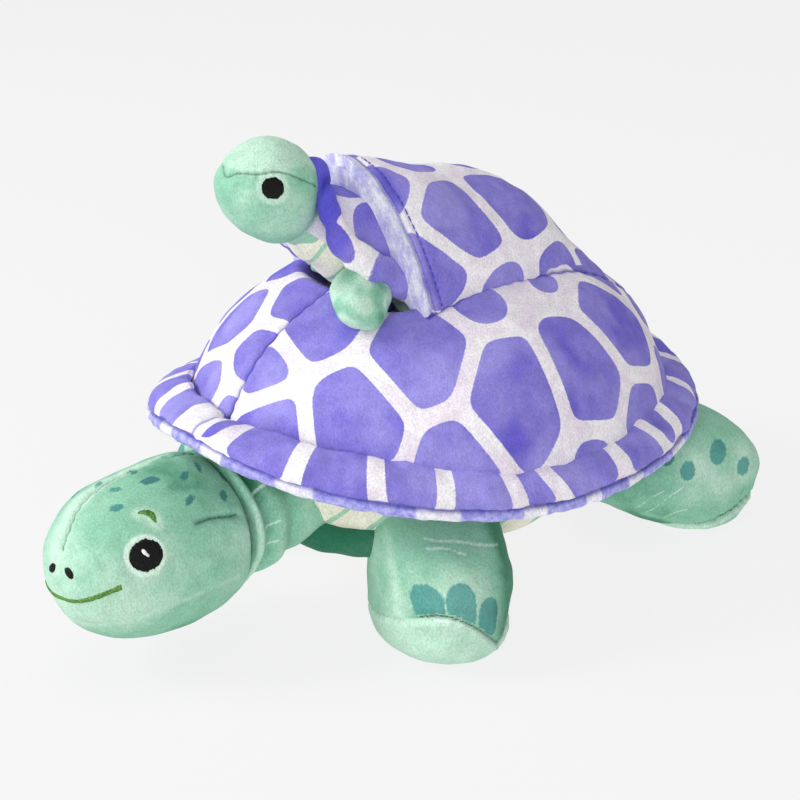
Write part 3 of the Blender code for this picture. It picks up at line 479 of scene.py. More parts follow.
def piping_velboa():
    """The cord of print that edges the brim, where the bent pile parts and looks paler and bluer."""
    f = Fabric("violet_piping_velboa")
    streaks = f.add("step", f.add("noise", f.place, grain(2.6), 2, 0.5), 0.3, 0.7)
    violet = f.add("mix", streaks, "#9794e2", "#bdbbf2")
    ground = f.add("mix", streaks, "#e2dff0", "#f6f3fa")
    printed = f.add("step", f.add("channel", attribute_name="print"), -0.6, 0.6)
    colour = f.add("mix", printed, ground, violet)
    # Painted shade darkens the roll where it tucks under the brim.
    colour = f.add("mix", f.add("channel", attribute_name="crease"), colour, "#2a249c")
    return f.pile(colour, "#eef0ff", depth=0.8)


def cream_velboa():
    """Cream velboa with slanting mint stripes, by the stripe channel in mm from each stripe's edge."""
    f = Fabric("cream_striped_velboa")
    shade = f.add("step", f.add("noise", f.place, grain(12), 3, 0.5), 0.3, 0.7)
    cream = f.add("mix", shade, "#f8f4e2", "#ebe8d5")
    stripe = f.add("step", f.add("channel", attribute_name="stripe"), -0.3, 0.3)
    return f.pile(f.add("mix", stripe, cream, "#a9d3b8"), "#ffffff")


def rayon_thread(name, dark, light, low=0.42):
    """Rayon embroidery thread, laid in satin stitch: smoother and glossier than the pile. Its pale strands,
    which show where the noise is over low, are painted highlights."""
    f = Fabric(name)
    noise = f.add("noise", f.add("stretch", f.place, (1.0, 1.0, 2.5)), grain(0.9), 2, 0.6)
    # The light colour is that of the painted highlights.
    colour = f.add("mix", f.add("step", noise, low, low + 0.22), dark, light)
    return f.finish(colour, Roughness=0.55, Specular_IOR_Level=0.2)


GREEN = green_velboa()
SCUTES = scute_velboa()
HEM = hem_velboa()
CREAM = cream_velboa()
PIPING = piping_velboa()
BLACK_THREAD = rayon_thread("black_rayon_thread", "#010102", "#3e4045", 0.58)
OLIVE_THREAD = rayon_thread("olive_rayon_thread", "#356a2c", "#79a850")
WHITE_THREAD = rayon_thread("white_rayon_thread", "#f4f4f2", "#ffffff")
VIOLET_THREAD = rayon_thread("violet_sewing_thread", "#3b36b8", "#6d68d6")
DARK_GREEN_THREAD = rayon_thread("dark_green_sewing_thread", "#1d5546", "#3f7f6a")



def dome_profile(share):
    """Radius and height of a dome, as shares of its own, from 0 at the top to 1 at the base: the sine and
    the cosine of that share of a quarter turn, each to the power 2 / SHELL_POWER."""
    polar = share * math.pi / 2
    return np.sin(polar) ** (2 / SHELL_POWER), np.cos(polar) ** (2 / SHELL_POWER)


def dome_point(share, turn):
    """Shell surface: share 0 is the top and 1 the base, turn is the angle in plan from the left side."""
    radius, height = dome_profile(share)
    x = SHELL_WIDTH / 2 * radius * np.cos(turn)
    y = SHELL_CENTRE_Y + SHELL_LENGTH / 2 * radius * np.sin(turn)
    return np.stack(np.broadcast_arrays(x, y, SHELL_BASE_Z + SHELL_RISE * height), -1)


def dome_height(points):
    """Height of the bare dome over places in plan, by the superellipsoid's equation."""
    x, y = points[..., 0], points[..., 1] - SHELL_CENTRE_Y
    radius = np.hypot(x / (SHELL_WIDTH / 2), y / (SHELL_LENGTH / 2))
    return SHELL_BASE_Z + SHELL_RISE * np.maximum(0, 1 - radius**SHELL_POWER) ** (1 / SHELL_POWER)


def pocket_height(x, y):
    """Height of the pocket's lining over a place in plan: the floor of a boxy tunnel along the baby's axis,
    its far end, and beyond its width a steep wall."""
    middle = (POCKET_FLOOR_U + POCKET_ROOF_U) / 2
    half = (POCKET_ROOF_U - POCKET_FLOOR_U) / 2
    across = np.abs(x) / (POCKET_WIDTH / 2)
    inside = np.clip(1 - across**POCKET_CORNER_POWER, 0, 1) ** (1 / POCKET_CORNER_POWER)
    floor = middle - half * inside + 260 * np.maximum(across - 1, 0)
    floor = floor + LIP_RISE * np.clip((14 - x) / 12, 0, 1) * (across < 1)
    back = y - BABY_CENTRE[1]
    low = (floor - back * math.sin(BABY_PITCH)) / math.cos(BABY_PITCH)
    end = (-POCKET_DEPTH + back * math.cos(BABY_PITCH)) / math.sin(BABY_PITCH)
    return BABY_CENTRE[2] + np.maximum(low, end)


# Patches of the print on the shell, as (turn in degrees, share down from the top, radius in mm). Those of her
# left half are listed one by one, and those of the other half carry the same rhythm round.
LEFT_PATCHES = (
    (-84, 0.62, 10), (-75, 0.80, 16), (-74, 0.43, 17), (-53, 0.70, 22), (-38, 0.52, 24),
    (-30, 0.82, 18), (-15, 0.66, 25), (-16, 0.35, 10), (8, 0.65, 23), (3, 0.94, 9),
    (22, 0.34, 6), (33, 0.58, 23), (24, 0.89, 14), (46, 0.88, 12), (54, 0.45, 16),
    (68, 0.67, 20), (84, 0.46, 15), (86, 0.86, 16), (10, 0.12, 18), (-50, 0.95, 10),
)
RIGHT_PATCHES = (
    (-117, 0.56, 21), (-98, 0.39, 16), (-93, 0.58, 15), (-107, 0.77, 19), (-132, 0.82, 17), (-140, 0.60, 18),
    (-136, 0.38, 15), (-160, 0.70, 22), (-164, 0.46, 17), (-155, 0.92, 13), (178, 0.60, 21), (176, 0.86, 15),
    (158, 0.72, 19), (160, 0.44, 17), (150, 0.92, 13), (136, 0.62, 20), (128, 0.85, 16), (124, 0.42, 15),
    (112, 0.66, 19), (100, 0.88, 14), (97, 0.50, 14), (170, 0.15, 18), (-93, 0.80, 12),
)


def shell_print(grid):
    """The print of the shell's two panels, cut where they meet at the middle seam."""
    halves = []
    for patches in (LEFT_PATCHES, RIGHT_PATCHES):
        placed = [(dome_point(share, math.radians(turn)), size) for turn, share, size in patches]
        halves.append(patch_print(grid, placed, 7.0, 1.8, (1, 1, 0.9)))
    return np.where(grid[..., 0] > 0, *halves)


def base_share(turn):
    """How far down the dome goes at each turn: to the brim's middle line, with the height share
    inverted."""
    line, _, _ = brim_frame(turn)
    height = (line[..., 2] - 3 - SHELL_BASE_Z) / SHELL_RISE
    return np.arccos(np.clip(height, 0, 1) ** (SHELL_POWER / 2)) * 2 / math.pi


def shell():
    """Mother's shell cover, with the pocket sunk in it, a seam down the middle of its front, and the seam
    that holds the hood down."""
    rows, spokes = 170, 420
    turn = circle(spokes)[None]
    share = np.linspace(0.004, 1.0, rows)[:, None] * base_share(turn[0])
    grid = dome_point(share, turn)
    lining = pocket_height(grid[..., 0], grid[..., 1])
    sunk = np.clip((grid[..., 2] - lining) / 4, 0, 1)
    front = dome_point(np.linspace(0.2, 1.0, 24), np.full(24, -math.pi / 2))
    relief = seam(grid, front, 1.5, 1.4, 0.3, 7) * (1 - sunk)
    relief += (0.8 * lumps(grid, 60, 3) + 0.15 * lumps(grid, 13, 4)) * np.clip((1 - share) / 0.1, 0, 1)
    # Painted shade darkens the front seam and the seam along the hood's foot.
    crease = 0.8 * bell(near_line(grid, front)[0], 0.7) * (1 - sunk)
    for sign in (-1, 1):
        foot = hood_foot(np.linspace(0.0, 0.97, 40), sign)
        near, run = near_line(grid, foot)
        relief += 0.3 * bell(near, 4) * np.sin(run / 1.3) - 0.9 * bell(near, 1.6)
        crease = np.maximum(crease, 0.9 * bell(near, 1.1))
    raised = grid + out_normals(grid) * relief[..., None]
    raised[..., 2] = smooth_min(raised[..., 2], lining, 4.0)
    turned_in = [raised[-1] * (share, share, 1) - 2.0 * UP for share in (0.985, 0.95)]
    whole = np.vstack([raised, turned_in])
    # The pocket's lining is darkened with painted shade.
    channels = {"print": shell_print(grid), "tone": 0.35 * sunk, "crease": crease}
    channels = {key: np.vstack([value, value[-1:], value[-1:]]) for key, value in channels.items()}
    cover(skin("shell_cover", whole, SCUTES, "lilac_print_plush", **channels), "mother_trunk", ["shell_dome"])


def hood_foot(run, side):
    """The line where the hood's edge meets the shell, on one side."""
    line = hood_point(run, np.full_like(run, side))
    line[:, 2] = dome_height(line)
    return line


def brim_frame(turn):
    """The brim's middle line, its direction down the slope outward, and the one square to that. The slope
    is less by three quarters at the notch over the neck."""
    forward, backward = np.maximum(0, -np.sin(turn)), np.maximum(0, np.sin(turn))
    line = np.stack(
        [
            BRIM_BREADTH / 2 * np.cos(turn),
            SHELL_CENTRE_Y + BRIM_LENGTH / 2 * np.sin(turn),
            BRIM_SIDE_Z + BRIM_FRONT_LIFT * forward**2 + BRIM_REAR_LIFT * backward**2,
        ],
        -1,
    )
    outward = unit(np.stack([np.cos(turn) / BRIM_BREADTH, np.sin(turn) / BRIM_LENGTH, 0 * turn], -1))
    tilt = BRIM_TILT * (1 - 0.75 * np.exp(-2 * (1 - forward) / 0.3**2))[..., None]
    slope = outward * np.cos(tilt) - UP * np.sin(tilt)
    return line, slope, outward * np.sin(tilt) + UP * np.cos(tilt)


def brim():
    """The padded brim: a flattened oval section carried round the shell, thin along its seam with the dome
    and gathered there, with a groove where the piping is sewn on. Painted shade darkens that groove, the
    notch over the neck, and the brim's upper side where it meets the dome."""
    turn = circle(620)
    line, slope, square = brim_frame(turn)
    around = circle(56)
    outer = 0.5 + 0.5 * np.cos(around)
    wide = BRIM_WIDTH / 2 * np.cos(around)[:, None]
    high = (BRIM_THICKNESS / 2 * np.sin(around) * (0.62 + 0.38 * outer))[:, None]
    grid = line + wide[..., None] * slope + high[..., None] * square
    length = np.linalg.norm(np.roll(line, -1, 0) - line, axis=1).cumsum()
    run = np.broadcast_to(length, grid.shape[:2])
    dice = np.random.default_rng(12)
    count = round(length[-1] / BRIM_PATCH_STEP)
    places = np.arange(count) * length[-1] / count + dice.uniform(-6, 6, count)
    offsets, sizes = dice.uniform(-9, 9, count), dice.uniform(13, 21, count)
    flat = np.stack([run, 26 * np.sin(around / 2)[:, None] + 0 * run, 0 * run], -1)
    patches = [
        ((place + lap * length[-1], 16 + offset, 0.0), size)
        for lap in (-1, 0, 1)
        for place, offset, size in zip(places, offsets, sizes)
    ]
    printed = patch_print(flat, patches, 7.6, 1.6)
    inner = bell(around - math.pi, 0.8)[:, None]
    rear = bell(np.cos(turn - math.radians(25)) - 1, 0.35)
    relief = 0.25 * np.sin(run / 3.2 + 1.5 * np.sin(run / 23)) * inner
    relief += rear * 0.9 * np.sin(run / 3.4 + 2 * np.sin(run / 17)) * (0.35 + inner)
    relief += 0.6 * lumps(grid, 30, 5) + 0.2 * lumps(grid, 9, 6)
    notch = wrapped(turn - NOTCH_TURN)
    printed = np.minimum(printed, np.abs(notch) * 115 - 7)
    piping = bell(wrapped(around + 0.22), 0.15)[:, None]
    relief -= 3.4 * bell(notch, 0.03) * (0.35 + 0.65 * inner) + 0.9 * piping
    # Painted shade in the notch, along the piping and where the brim meets the dome.
    crease = np.maximum(0.75 * bell(notch, 0.008) + 0 * relief, 0.95 * piping)
    crease = np.maximum(crease, 0.5 * bell(around - math.pi + 0.35, 0.12)[:, None])
    sewn(
        "brim_cover", grid, relief, SCUTES, "lilac_print_plush", "mother_trunk", ["shell_brim"],
        round_rows=True, print=printed, tone=0.0, crease=crease,
    )
    edge_roll(turn, line, slope, square, run)


def edge_roll(turn, line, slope, square, run):
    """The roll under the brim's edge: a soft tube of the same print, a little paler where its pile stands
    open."""
    around = circle(20)[:, None]
    front = np.maximum(0, -np.sin(turn))[:, None] ** 6
    out, down = BRIM_WIDTH / 2 + 0.4 - 0.8 * front, 0.9 * ROLL_RADIUS - 1.4 * front
    ring = np.cos(around)[..., None] * slope + np.sin(around)[..., None] * square
    grid = line + slope * out - square * down + ROLL_RADIUS * ring
    relief = 0.3 * lumps(grid, 12, 8) + 0.15 * lumps(grid, 5, 9)
    printed = 7 * np.sin(run[:1] / 6.2 + 1.8 * np.sin(run[:1] / 29)) + 3.5
    # Painted shade on the roll's top, where it tucks under the brim.
    crease = 0.8 * bell(around - math.pi / 2, 0.45)
    sewn(
        "brim_roll", grid, relief, PIPING, "blue_roll_plush", "mother_trunk", ["brim_edge_roll"],
        round_rows=True, print=printed, crease=crease,
    )


# Patches on the hood, as (how far from mouth to rear, turn from ridge to seam, radius in mm).
HOOD_PATCHES = (
    (0.04, 0.33, 15), (0.24, 0.51, 22), (0.08, 0.70, 17), (0.29, 0.92, 9), (0.47, 0.38, 21),
    (0.56, 0.90, 14), (0.71, 0.72, 11), (0.20, 0.05, 14), (0.72, 0.30, 14), (0.86, 0.55, 13),
    (0.00, -0.10, 13), (0.46, -0.10, 12), (0.10, -0.45, 18), (0.28, -0.30, 17), (0.22, -0.80, 16),
    (0.44, -0.62, 18),
    (0.60, -0.16, 16), (0.52, -0.95, 12), (0.70, -0.62, 17), (0.90, -0.3, 16),
)


def hood_point(run, turn):
    """Hood surface: run 0 is the mouth and 1 the rear, turn -1 the right seam, 0 the ridge and 1 the left
    seam. A round-topped arch stands between the shell and the ridge at each run."""
    narrow = HOOD_PLAN_POWER
    half = HOOD_WIDTH / 2 * (1 - (HOOD_CLOSE_SHARE * run) ** narrow) ** (1 / narrow)
    sine, cosine = np.sin(turn * math.pi / 2), np.cos(turn * math.pi / 2)
    x = half * np.sign(sine) * np.abs(sine) ** (2 / HOOD_ARCH_POWER)
    y = HOOD_MOUTH_Y + run * (HOOD_REAR_Y - HOOD_MOUTH_Y) + HOOD_RAKE * turn**2 * (1 - run)
    table = through(RIDGE_SHARES, 200)
    ridge = (HOOD_RIDGE_Z - SHELL_BASE_Z) * np.interp(run, table[:, 0], table[:, 1])
    radius = np.hypot(2 * half / (SHELL_WIDTH + 3), 2 * (y - SHELL_CENTRE_Y) / (SHELL_LENGTH + 3))
    foot = SHELL_RISE * np.maximum(0, 1 - radius**SHELL_POWER) ** (1 / SHELL_POWER) - HOOD_SEAT
    lift = (ridge - foot) * np.maximum(cosine, 0) ** (2 / HOOD_ARCH_POWER)
    return np.stack(np.broadcast_arrays(x, y, SHELL_BASE_Z + foot + lift), -1)


def hood():
    """The hood: a padded sheet whose outside carries the print, with the hem turned over at its mouth and
    sewn down by a line of stitches a little further in. Its print runs into the shell's where it comes
    within a few millimetres of the shell at its rear."""
    rows, spokes = 150, 220
    run = np.linspace(0, 1, rows) ** 1.15
    turn = np.linspace(-1, 1, spokes)
    outer = hood_point(run[:, None], turn[None])
    normals = unit(np.cross(np.gradient(outer, axis=1), np.gradient(outer, axis=0)))
    normals = normals * np.sign(normals[rows // 2, spokes // 2, 2])
    distance = run[:, None] * (HOOD_REAR_Y - HOOD_MOUTH_Y)
    placed = [(hood_point(np.array(a), np.array(b)), size) for a, b, size in HOOD_PATCHES]
    printed = patch_print(outer, placed, 6.0, 2.0, (1, 0.82, 1))
    own = np.clip((outer[..., 2] - dome_height(outer) - 2) / 6, 0, 1)
    own = np.maximum(own, np.clip((0.76 - run[:, None]) / 0.12, 0, 1))
    printed = own * printed + (1 - own) * shell_print(outer)
    free = np.clip((1 - np.abs(turn)) / 0.12, 0, 1)
    relief = (0.9 * lumps(outer, 50, 21) + 0.2 * lumps(outer, 12, 22)) * free
    stitched = distance - HEM_WIDTH - STITCH_SETBACK
    relief -= 0.9 * bell(distance - HEM_WIDTH, 1.2)
    relief += 0.3 * bell(stitched + 2.5, 2) - 0.7 * bell(stitched, 0.9)
    thick = HOOD_THICKNESS * (1 + 0.6 * np.exp(-((distance / HEM_WIDTH) ** 4)))
    outer = outer + normals * relief[..., None]
    inner = outer - normals * (thick + 0 * relief)[..., None]
    ring = np.hstack([outer, inner[:, ::-1]])
    # Painted shade along the hem's fold and the line of stitches.
    crease = 0.55 * bell(distance - HEM_WIDTH, 0.8) + 0.25 * bell(stitched, 0.8)
    plain = np.ones_like(printed)
    # The inner side is printed all over and darkened with painted shade.
    channels = {
        "print": np.hstack([printed, 3 * plain]),
        "tone": np.hstack([0 * plain, 0.7 * plain]),
        "crease": np.hstack([crease * plain, 0 * plain]),
    }
    split = int(np.searchsorted(distance[:, 0], HEM_WIDTH))
    for name, part, material, slot, node in (
        ("hood_cover", slice(split, None), SCUTES, "lilac_print_plush", "shell_hood"),
        ("hood_hem_roll", slice(0, split + 1), HEM, "pale_hem_plush", "hood_hem"),
    ):
        own_channels = {key: value[part] for key, value in channels.items()}
        cover(skin(name, ring[part], material, slot, **own_channels), "mother_trunk", [node])
    row = np.abs(stitched[:, 0]).argmin()
    for side, sign in SIDES.items():
        column = np.abs(turn - sign * np.linspace(0.03, 0.97, 60)[:, None]).argmin(1)
        sewing = outer[row, column] + 0.1 * normals[row, column]
        stitches(
            f"hood_stitches_{side}", sewing, 3.3, 2.4, 0.7, VIOLET_THREAD, "lilac_print_plush", "mother_trunk"
        )


def belly():
    """Mother's belly: the lower half of a dome like the shell's, cream with slanting stripes."""
    share = np.linspace(0.01, 1.0, 90)[:, None]
    turn = circle(260)[None]
    radius, height = dome_profile(share)
    x = BELLY_WIDTH / 2 * radius * np.cos(turn)
    y = BELLY_CENTRE_Y + BELLY_LENGTH / 2 * radius * np.sin(turn)
    z = SHELL_BASE_Z - (SHELL_BASE_Z - BELLY_BOTTOM_Z) * height
    grid = np.stack(np.broadcast_arrays(x, y, z), -1)
    relief = 0.8 * lumps(grid, 40, 31) + 0.2 * lumps(grid, 10, 32)
    line, slope, _ = brim_frame(turn[0])
    rim = line - (0, 0, 3.5) - 5 * slope
    part = (np.linspace(0, 1, 14)[1:, None, None]) ** 0.8
    side = grid[-1] * (1 - part) + rim * part
    relief = np.vstack([relief, relief[-1:] * (1 - part[..., 0])])
    grid = np.vstack([grid, side])
    slant = grid @ np.array((0.55, 0.45, -0.8))
    stripe = 1.2 - np.abs(slant % 14 - 7)
    sewn("belly_cover", grid, relief, CREAM, "cream_plush", "mother_trunk", ["belly"], stripe=stripe)


def along_axis(start, end, over, stations, rows, spokes):
    """A stuffed form along the line from start to end. Each station is (distance, half width, rise, drop):
    the section is half of one oval above and half of another below. Returns the grid and its two poles."""
    length = np.linalg.norm(end - start)
    ahead = (end - start) / length
    side = unit(np.cross(over, -ahead))
    up = np.cross(-ahead, side)
    table = np.vstack([(0, 0, 0, 0), stations, (length, 0, 0, 0)])
    curve = through(table, rows + 2, (1, 2, 3))[1:-1]
    angle = circle(spokes)[None]
    distance, wide, rise, drop = (curve[:, at : at + 1] for at in range(4))
    high = np.where(np.sin(angle) > 0, rise, drop) * np.sin(angle)
    across = wide * np.cos(angle)
    grid = start + distance[..., None] * ahead + across[..., None] * side + high[..., None] * up
    return grid, (start, end)


def round_end(radius, half_width, half_height, steps):
    """Stations over a form's round end, up to its widest place."""
    polar = math.pi / 2 * np.arange(1, steps + 1) / steps
    wide, high = half_width * np.sin(polar), half_height * np.sin(polar)
    return np.stack([radius * (1 - np.cos(polar)), wide, high, high], -1)


def turn_about(axis, angle):
    """The matrix that turns by an angle about a unit axis: Rodrigues' formula."""
    x, y, z = axis
    cross = np.array(((0, -z, y), (z, 0, -x), (-y, x, 0)))
    return np.eye(3) + math.sin(angle) * cross + (1 - math.cos(angle)) * cross @ cross


HEAD_TURN = turn_about(UP, HEAD_YAW) @ turn_about(-FORWARD, HEAD_ROLL)


def aims(pairs, turn=np.eye(3)):
    """Unit directions from (yaw, pitch) in degrees, yaw 90 to the left, in a turned frame."""
    yaw, pitch = np.radians(np.asarray(pairs, float)).T
    ways = np.stack([np.cos(pitch) * np.sin(yaw), -np.cos(pitch) * np.cos(yaw), np.sin(pitch)], -1)
    return ways @ turn.T


def seen_at(grid, centre, ways):
    """Places of a skin met from its centre along each way: the mean of the few nearest skin points."""
    flat = grid.reshape(-1, 3)
    near = unit(flat - centre) @ ways.T
    order = np.argpartition(-near, 4, axis=0)[:4]
    weight = 1 / (1.00001 - np.take_along_axis(near, order, 0))
    return (flat[order] * weight[..., None]).sum(0) / weight.sum(0)[:, None]


def on_head(grid, pairs, sign=1):
    """Places on the mother's head met along (yaw, pitch), with left and right exchanged where sign is
    -1."""
    return seen_at(grid, HEAD_CENTRE, aims([(sign * yaw, pitch) for yaw, pitch in pairs], HEAD_TURN))


def laid_on(points, ways, grid, lift):
    """Points moved along their ways on to a skin and lifted by so much: each takes the mean height of the
    planes through its nearest skin points, weighted by closeness."""
    middle = points.mean(0)
    reach = np.linalg.norm(points - middle, axis=1).max() + 5
    close = np.linalg.norm(grid - middle, axis=-1) < reach
    flat, normals = grid[close], out_normals(grid)[close]
    lift = np.broadcast_to(lift, len(points))
    moved = np.empty(points.shape)
    for part in np.array_split(np.arange(len(points)), len(points) // 400 + 1):
        own, way = points[part], ways[part]
        square = (own**2).sum(1)[:, None] + (flat**2).sum(1)[None] - 2 * own @ flat.T
        near = np.argpartition(square, 6, axis=1)[:, :6]
        weight = 1 / (np.take_along_axis(square, near, 1) + 0.05)
        facing = np.maximum(np.einsum("ij,ikj->ik", way, normals[near]), 0.2)
        height = np.einsum("ikj,ikj->ik", flat[near] - own[:, None], normals[near]) / facing
        rise = (height * weight).sum(1) / weight.sum(1) + lift[part]
        moved[part] = own + way * rise[:, None]
    return moved


# Satin stitch: how far apart the threads lie in an area and along a line, and how deep they reach.
PATCH_PITCH = 0.55
STROKE_PITCH = 0.6
THREAD_DEPTH = 0.8


def laid_threads(name, flat, ways, lift, grid, material, slot, body, nodes):
    """Threads as a closed skin: the points flat[row, spoke] laid on the grid at their lifts, over the same
    points THREAD_DEPTH within it."""
    points, ways = flat.reshape(-1, 3), np.broadcast_to(ways, flat.shape).reshape(-1, 3)
    top = laid_on(points, ways, grid, lift.ravel()).reshape(flat.shape)
    under = laid_on(points, ways, grid, -THREAD_DEPTH).reshape(flat.shape)
    piece = skin(name, np.hstack([top, under[:, ::-1]]), material, slot)
    if nodes:
        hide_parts(*nodes)
    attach(piece, body)


def satin_patch(name, place, normal, up, half, tall, grid, material, body, nodes, crown=0.9):
    """Satin stitch laid over an oval of half its width and half its height: threads side by side, each from
    edge to edge and round on top, with ends that reach a little more or less far."""
    side = unit(np.cross(up, normal))
    over = np.cross(normal, side)
    threads = max(4, int(2 * half / PATCH_PITCH))
    dice = np.random.default_rng(len(name) + threads)
    across = np.linspace(-1, 1, threads * 4 + 1)[:, None]
    ends = np.arange(-threads, threads)
    uneven = 1 + np.interp(across * threads / 2, ends, dice.uniform(-0.05, 0.09, 2 * threads))
    reach = tall * np.sqrt(np.clip(1 - across**2, 0.002, 1)) * uneven
    share = np.linspace(-1, 1, 17)
    flat = place + (across * half)[..., None] * side + (share * reach)[..., None] * over
    ridge = np.abs(np.cos(across * half / PATCH_PITCH * math.pi)) * 0.22
    swell = np.sqrt(np.clip(1 - np.abs(share) ** 3, 0, 1) * np.clip(1 - across**4, 0, 1))
    lift = swell * crown + ridge * (np.abs(share) < 0.98) - 0.45
    laid_threads(name, flat, normal, lift, grid, material, "black_thread", body, nodes)


def satin_stroke(name, line, half_width, grid, nodes):
    """An olive line of satin stitch on the mother's head: threads laid across it at a slant, each round on
    top, with uneven ends. half_width gives the line's half breadth at each share of its run."""
    length = np.linalg.norm(np.diff(line, axis=0), axis=1).sum()
    threads = int(length / STROKE_PITCH)
    path = through(line, threads * 4 + 1)
    tangent = unit(np.gradient(path, axis=0))
    normal = unit(path - HEAD_CENTRE)
    side = unit(np.cross(normal, tangent))
    share = np.linspace(0, 1, len(path))
    dice = np.random.default_rng(threads)
    uneven = 1 + np.interp(share * threads, np.arange(threads + 1), dice.uniform(-0.14, 0.16, threads + 1))
    across = np.linspace(-1, 1, 11)[None]
    reach = (half_width(share) * uneven)[:, None] * across
    flat = path[:, None] + reach[..., None] * (side + 0.25 * tangent)[:, None]
    ridge = np.abs(np.cos(share * threads * math.pi))[:, None] * 0.2
    lift = np.sqrt(np.clip(1 - across**2, 0, 1)) * (0.75 + ridge) - 0.35
    laid_threads(name, flat, normal[:, None], lift, grid, OLIVE_THREAD, "olive_thread", "mother_head", nodes)


def stitches(name, line, pitch, length, thick, material, slot, body):
    """Running stitches along a line: short round-ended tubes, joined in one mesh through thin hidden
    necks."""
    total = np.linalg.norm(np.diff(line, axis=0), axis=1).sum()
    count = max(2, int(total / pitch))
    steps = 10
    path = through(line, count * steps + 1)
    share = (np.arange(len(path)) % steps) / steps
    part = np.clip(np.abs(share - 0.5) / (length / pitch / 2), 0, 1)
    radius = thick / 2 * np.sqrt(np.clip(1 - part**4, 0.004, 1))
    tangent = unit(np.gradient(path, axis=0))
    side = unit(np.cross(tangent, UP + 0.01 * LEFT))
    over = np.cross(side, tangent)
    angle = circle(6)
    ring = np.cos(angle)[None, :, None] * side[:, None] + np.sin(angle)[None, :, None] * over[:, None]
    piece = skin(name, path[:, None] + ring * radius[:, None, None], material, slot)
    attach(piece, body)


# The snout ahead of the head's widest place, as shares: how far on, half width, rise and drop.
HEAD_SHARES = (
    (0.0, 1.0, 1.0, 1.0),
    (0.34, 0.985, 0.975, 0.985),
    (0.64, 0.87, 0.84, 0.88),
    (0.88, 0.62, 0.57, 0.64),
    (0.985, 0.30, 0.27, 0.32),
)
# Printed spots on her left, as (yaw, pitch, half length, half breadth). The far side has the same ones.
HEAD_SPOTS = (
    (11, 47, 3.2, 1.6), (37, 58, 4.8, 2.3), (80, 60, 3.4, 1.6), (6, 65, 3.4, 1.4), (21, 36, 3.8, 1.9),
    (73, 41, 3.4, 1.6), (106, 36, 3.0, 2.0), (112, 63, 3.8, 1.2), (127, 45, 2.8, 1.8),
)
NOSE_YAW = 0.8
EYE_AIM = (39, 12)
BROW_AIMS = ((34.5, 34), (38.5, 34.5), (42, 32.7), (45, 28.5))
SMILE_AIMS = ((-18, -4.2), (-12, -5.6), (-6, -6.2), (6, -6.2), (13, -5.0), (21, -2.6), (28.5, -0.4))
TOP_SEAM_AIMS = ((0, 14), (-1, 23), (-4, 34), (-5, 48), (-7, 62), (0, 75), (150, 78), (170, 62))
DART_AIMS = ((72, 25), (82, 25.5), (92, 24), (102, 21.5), (109, 20))
CHIN_YAWS = (100, 70, 40, 10, -20, -60, -100)
REAR_SEAM = 17.5


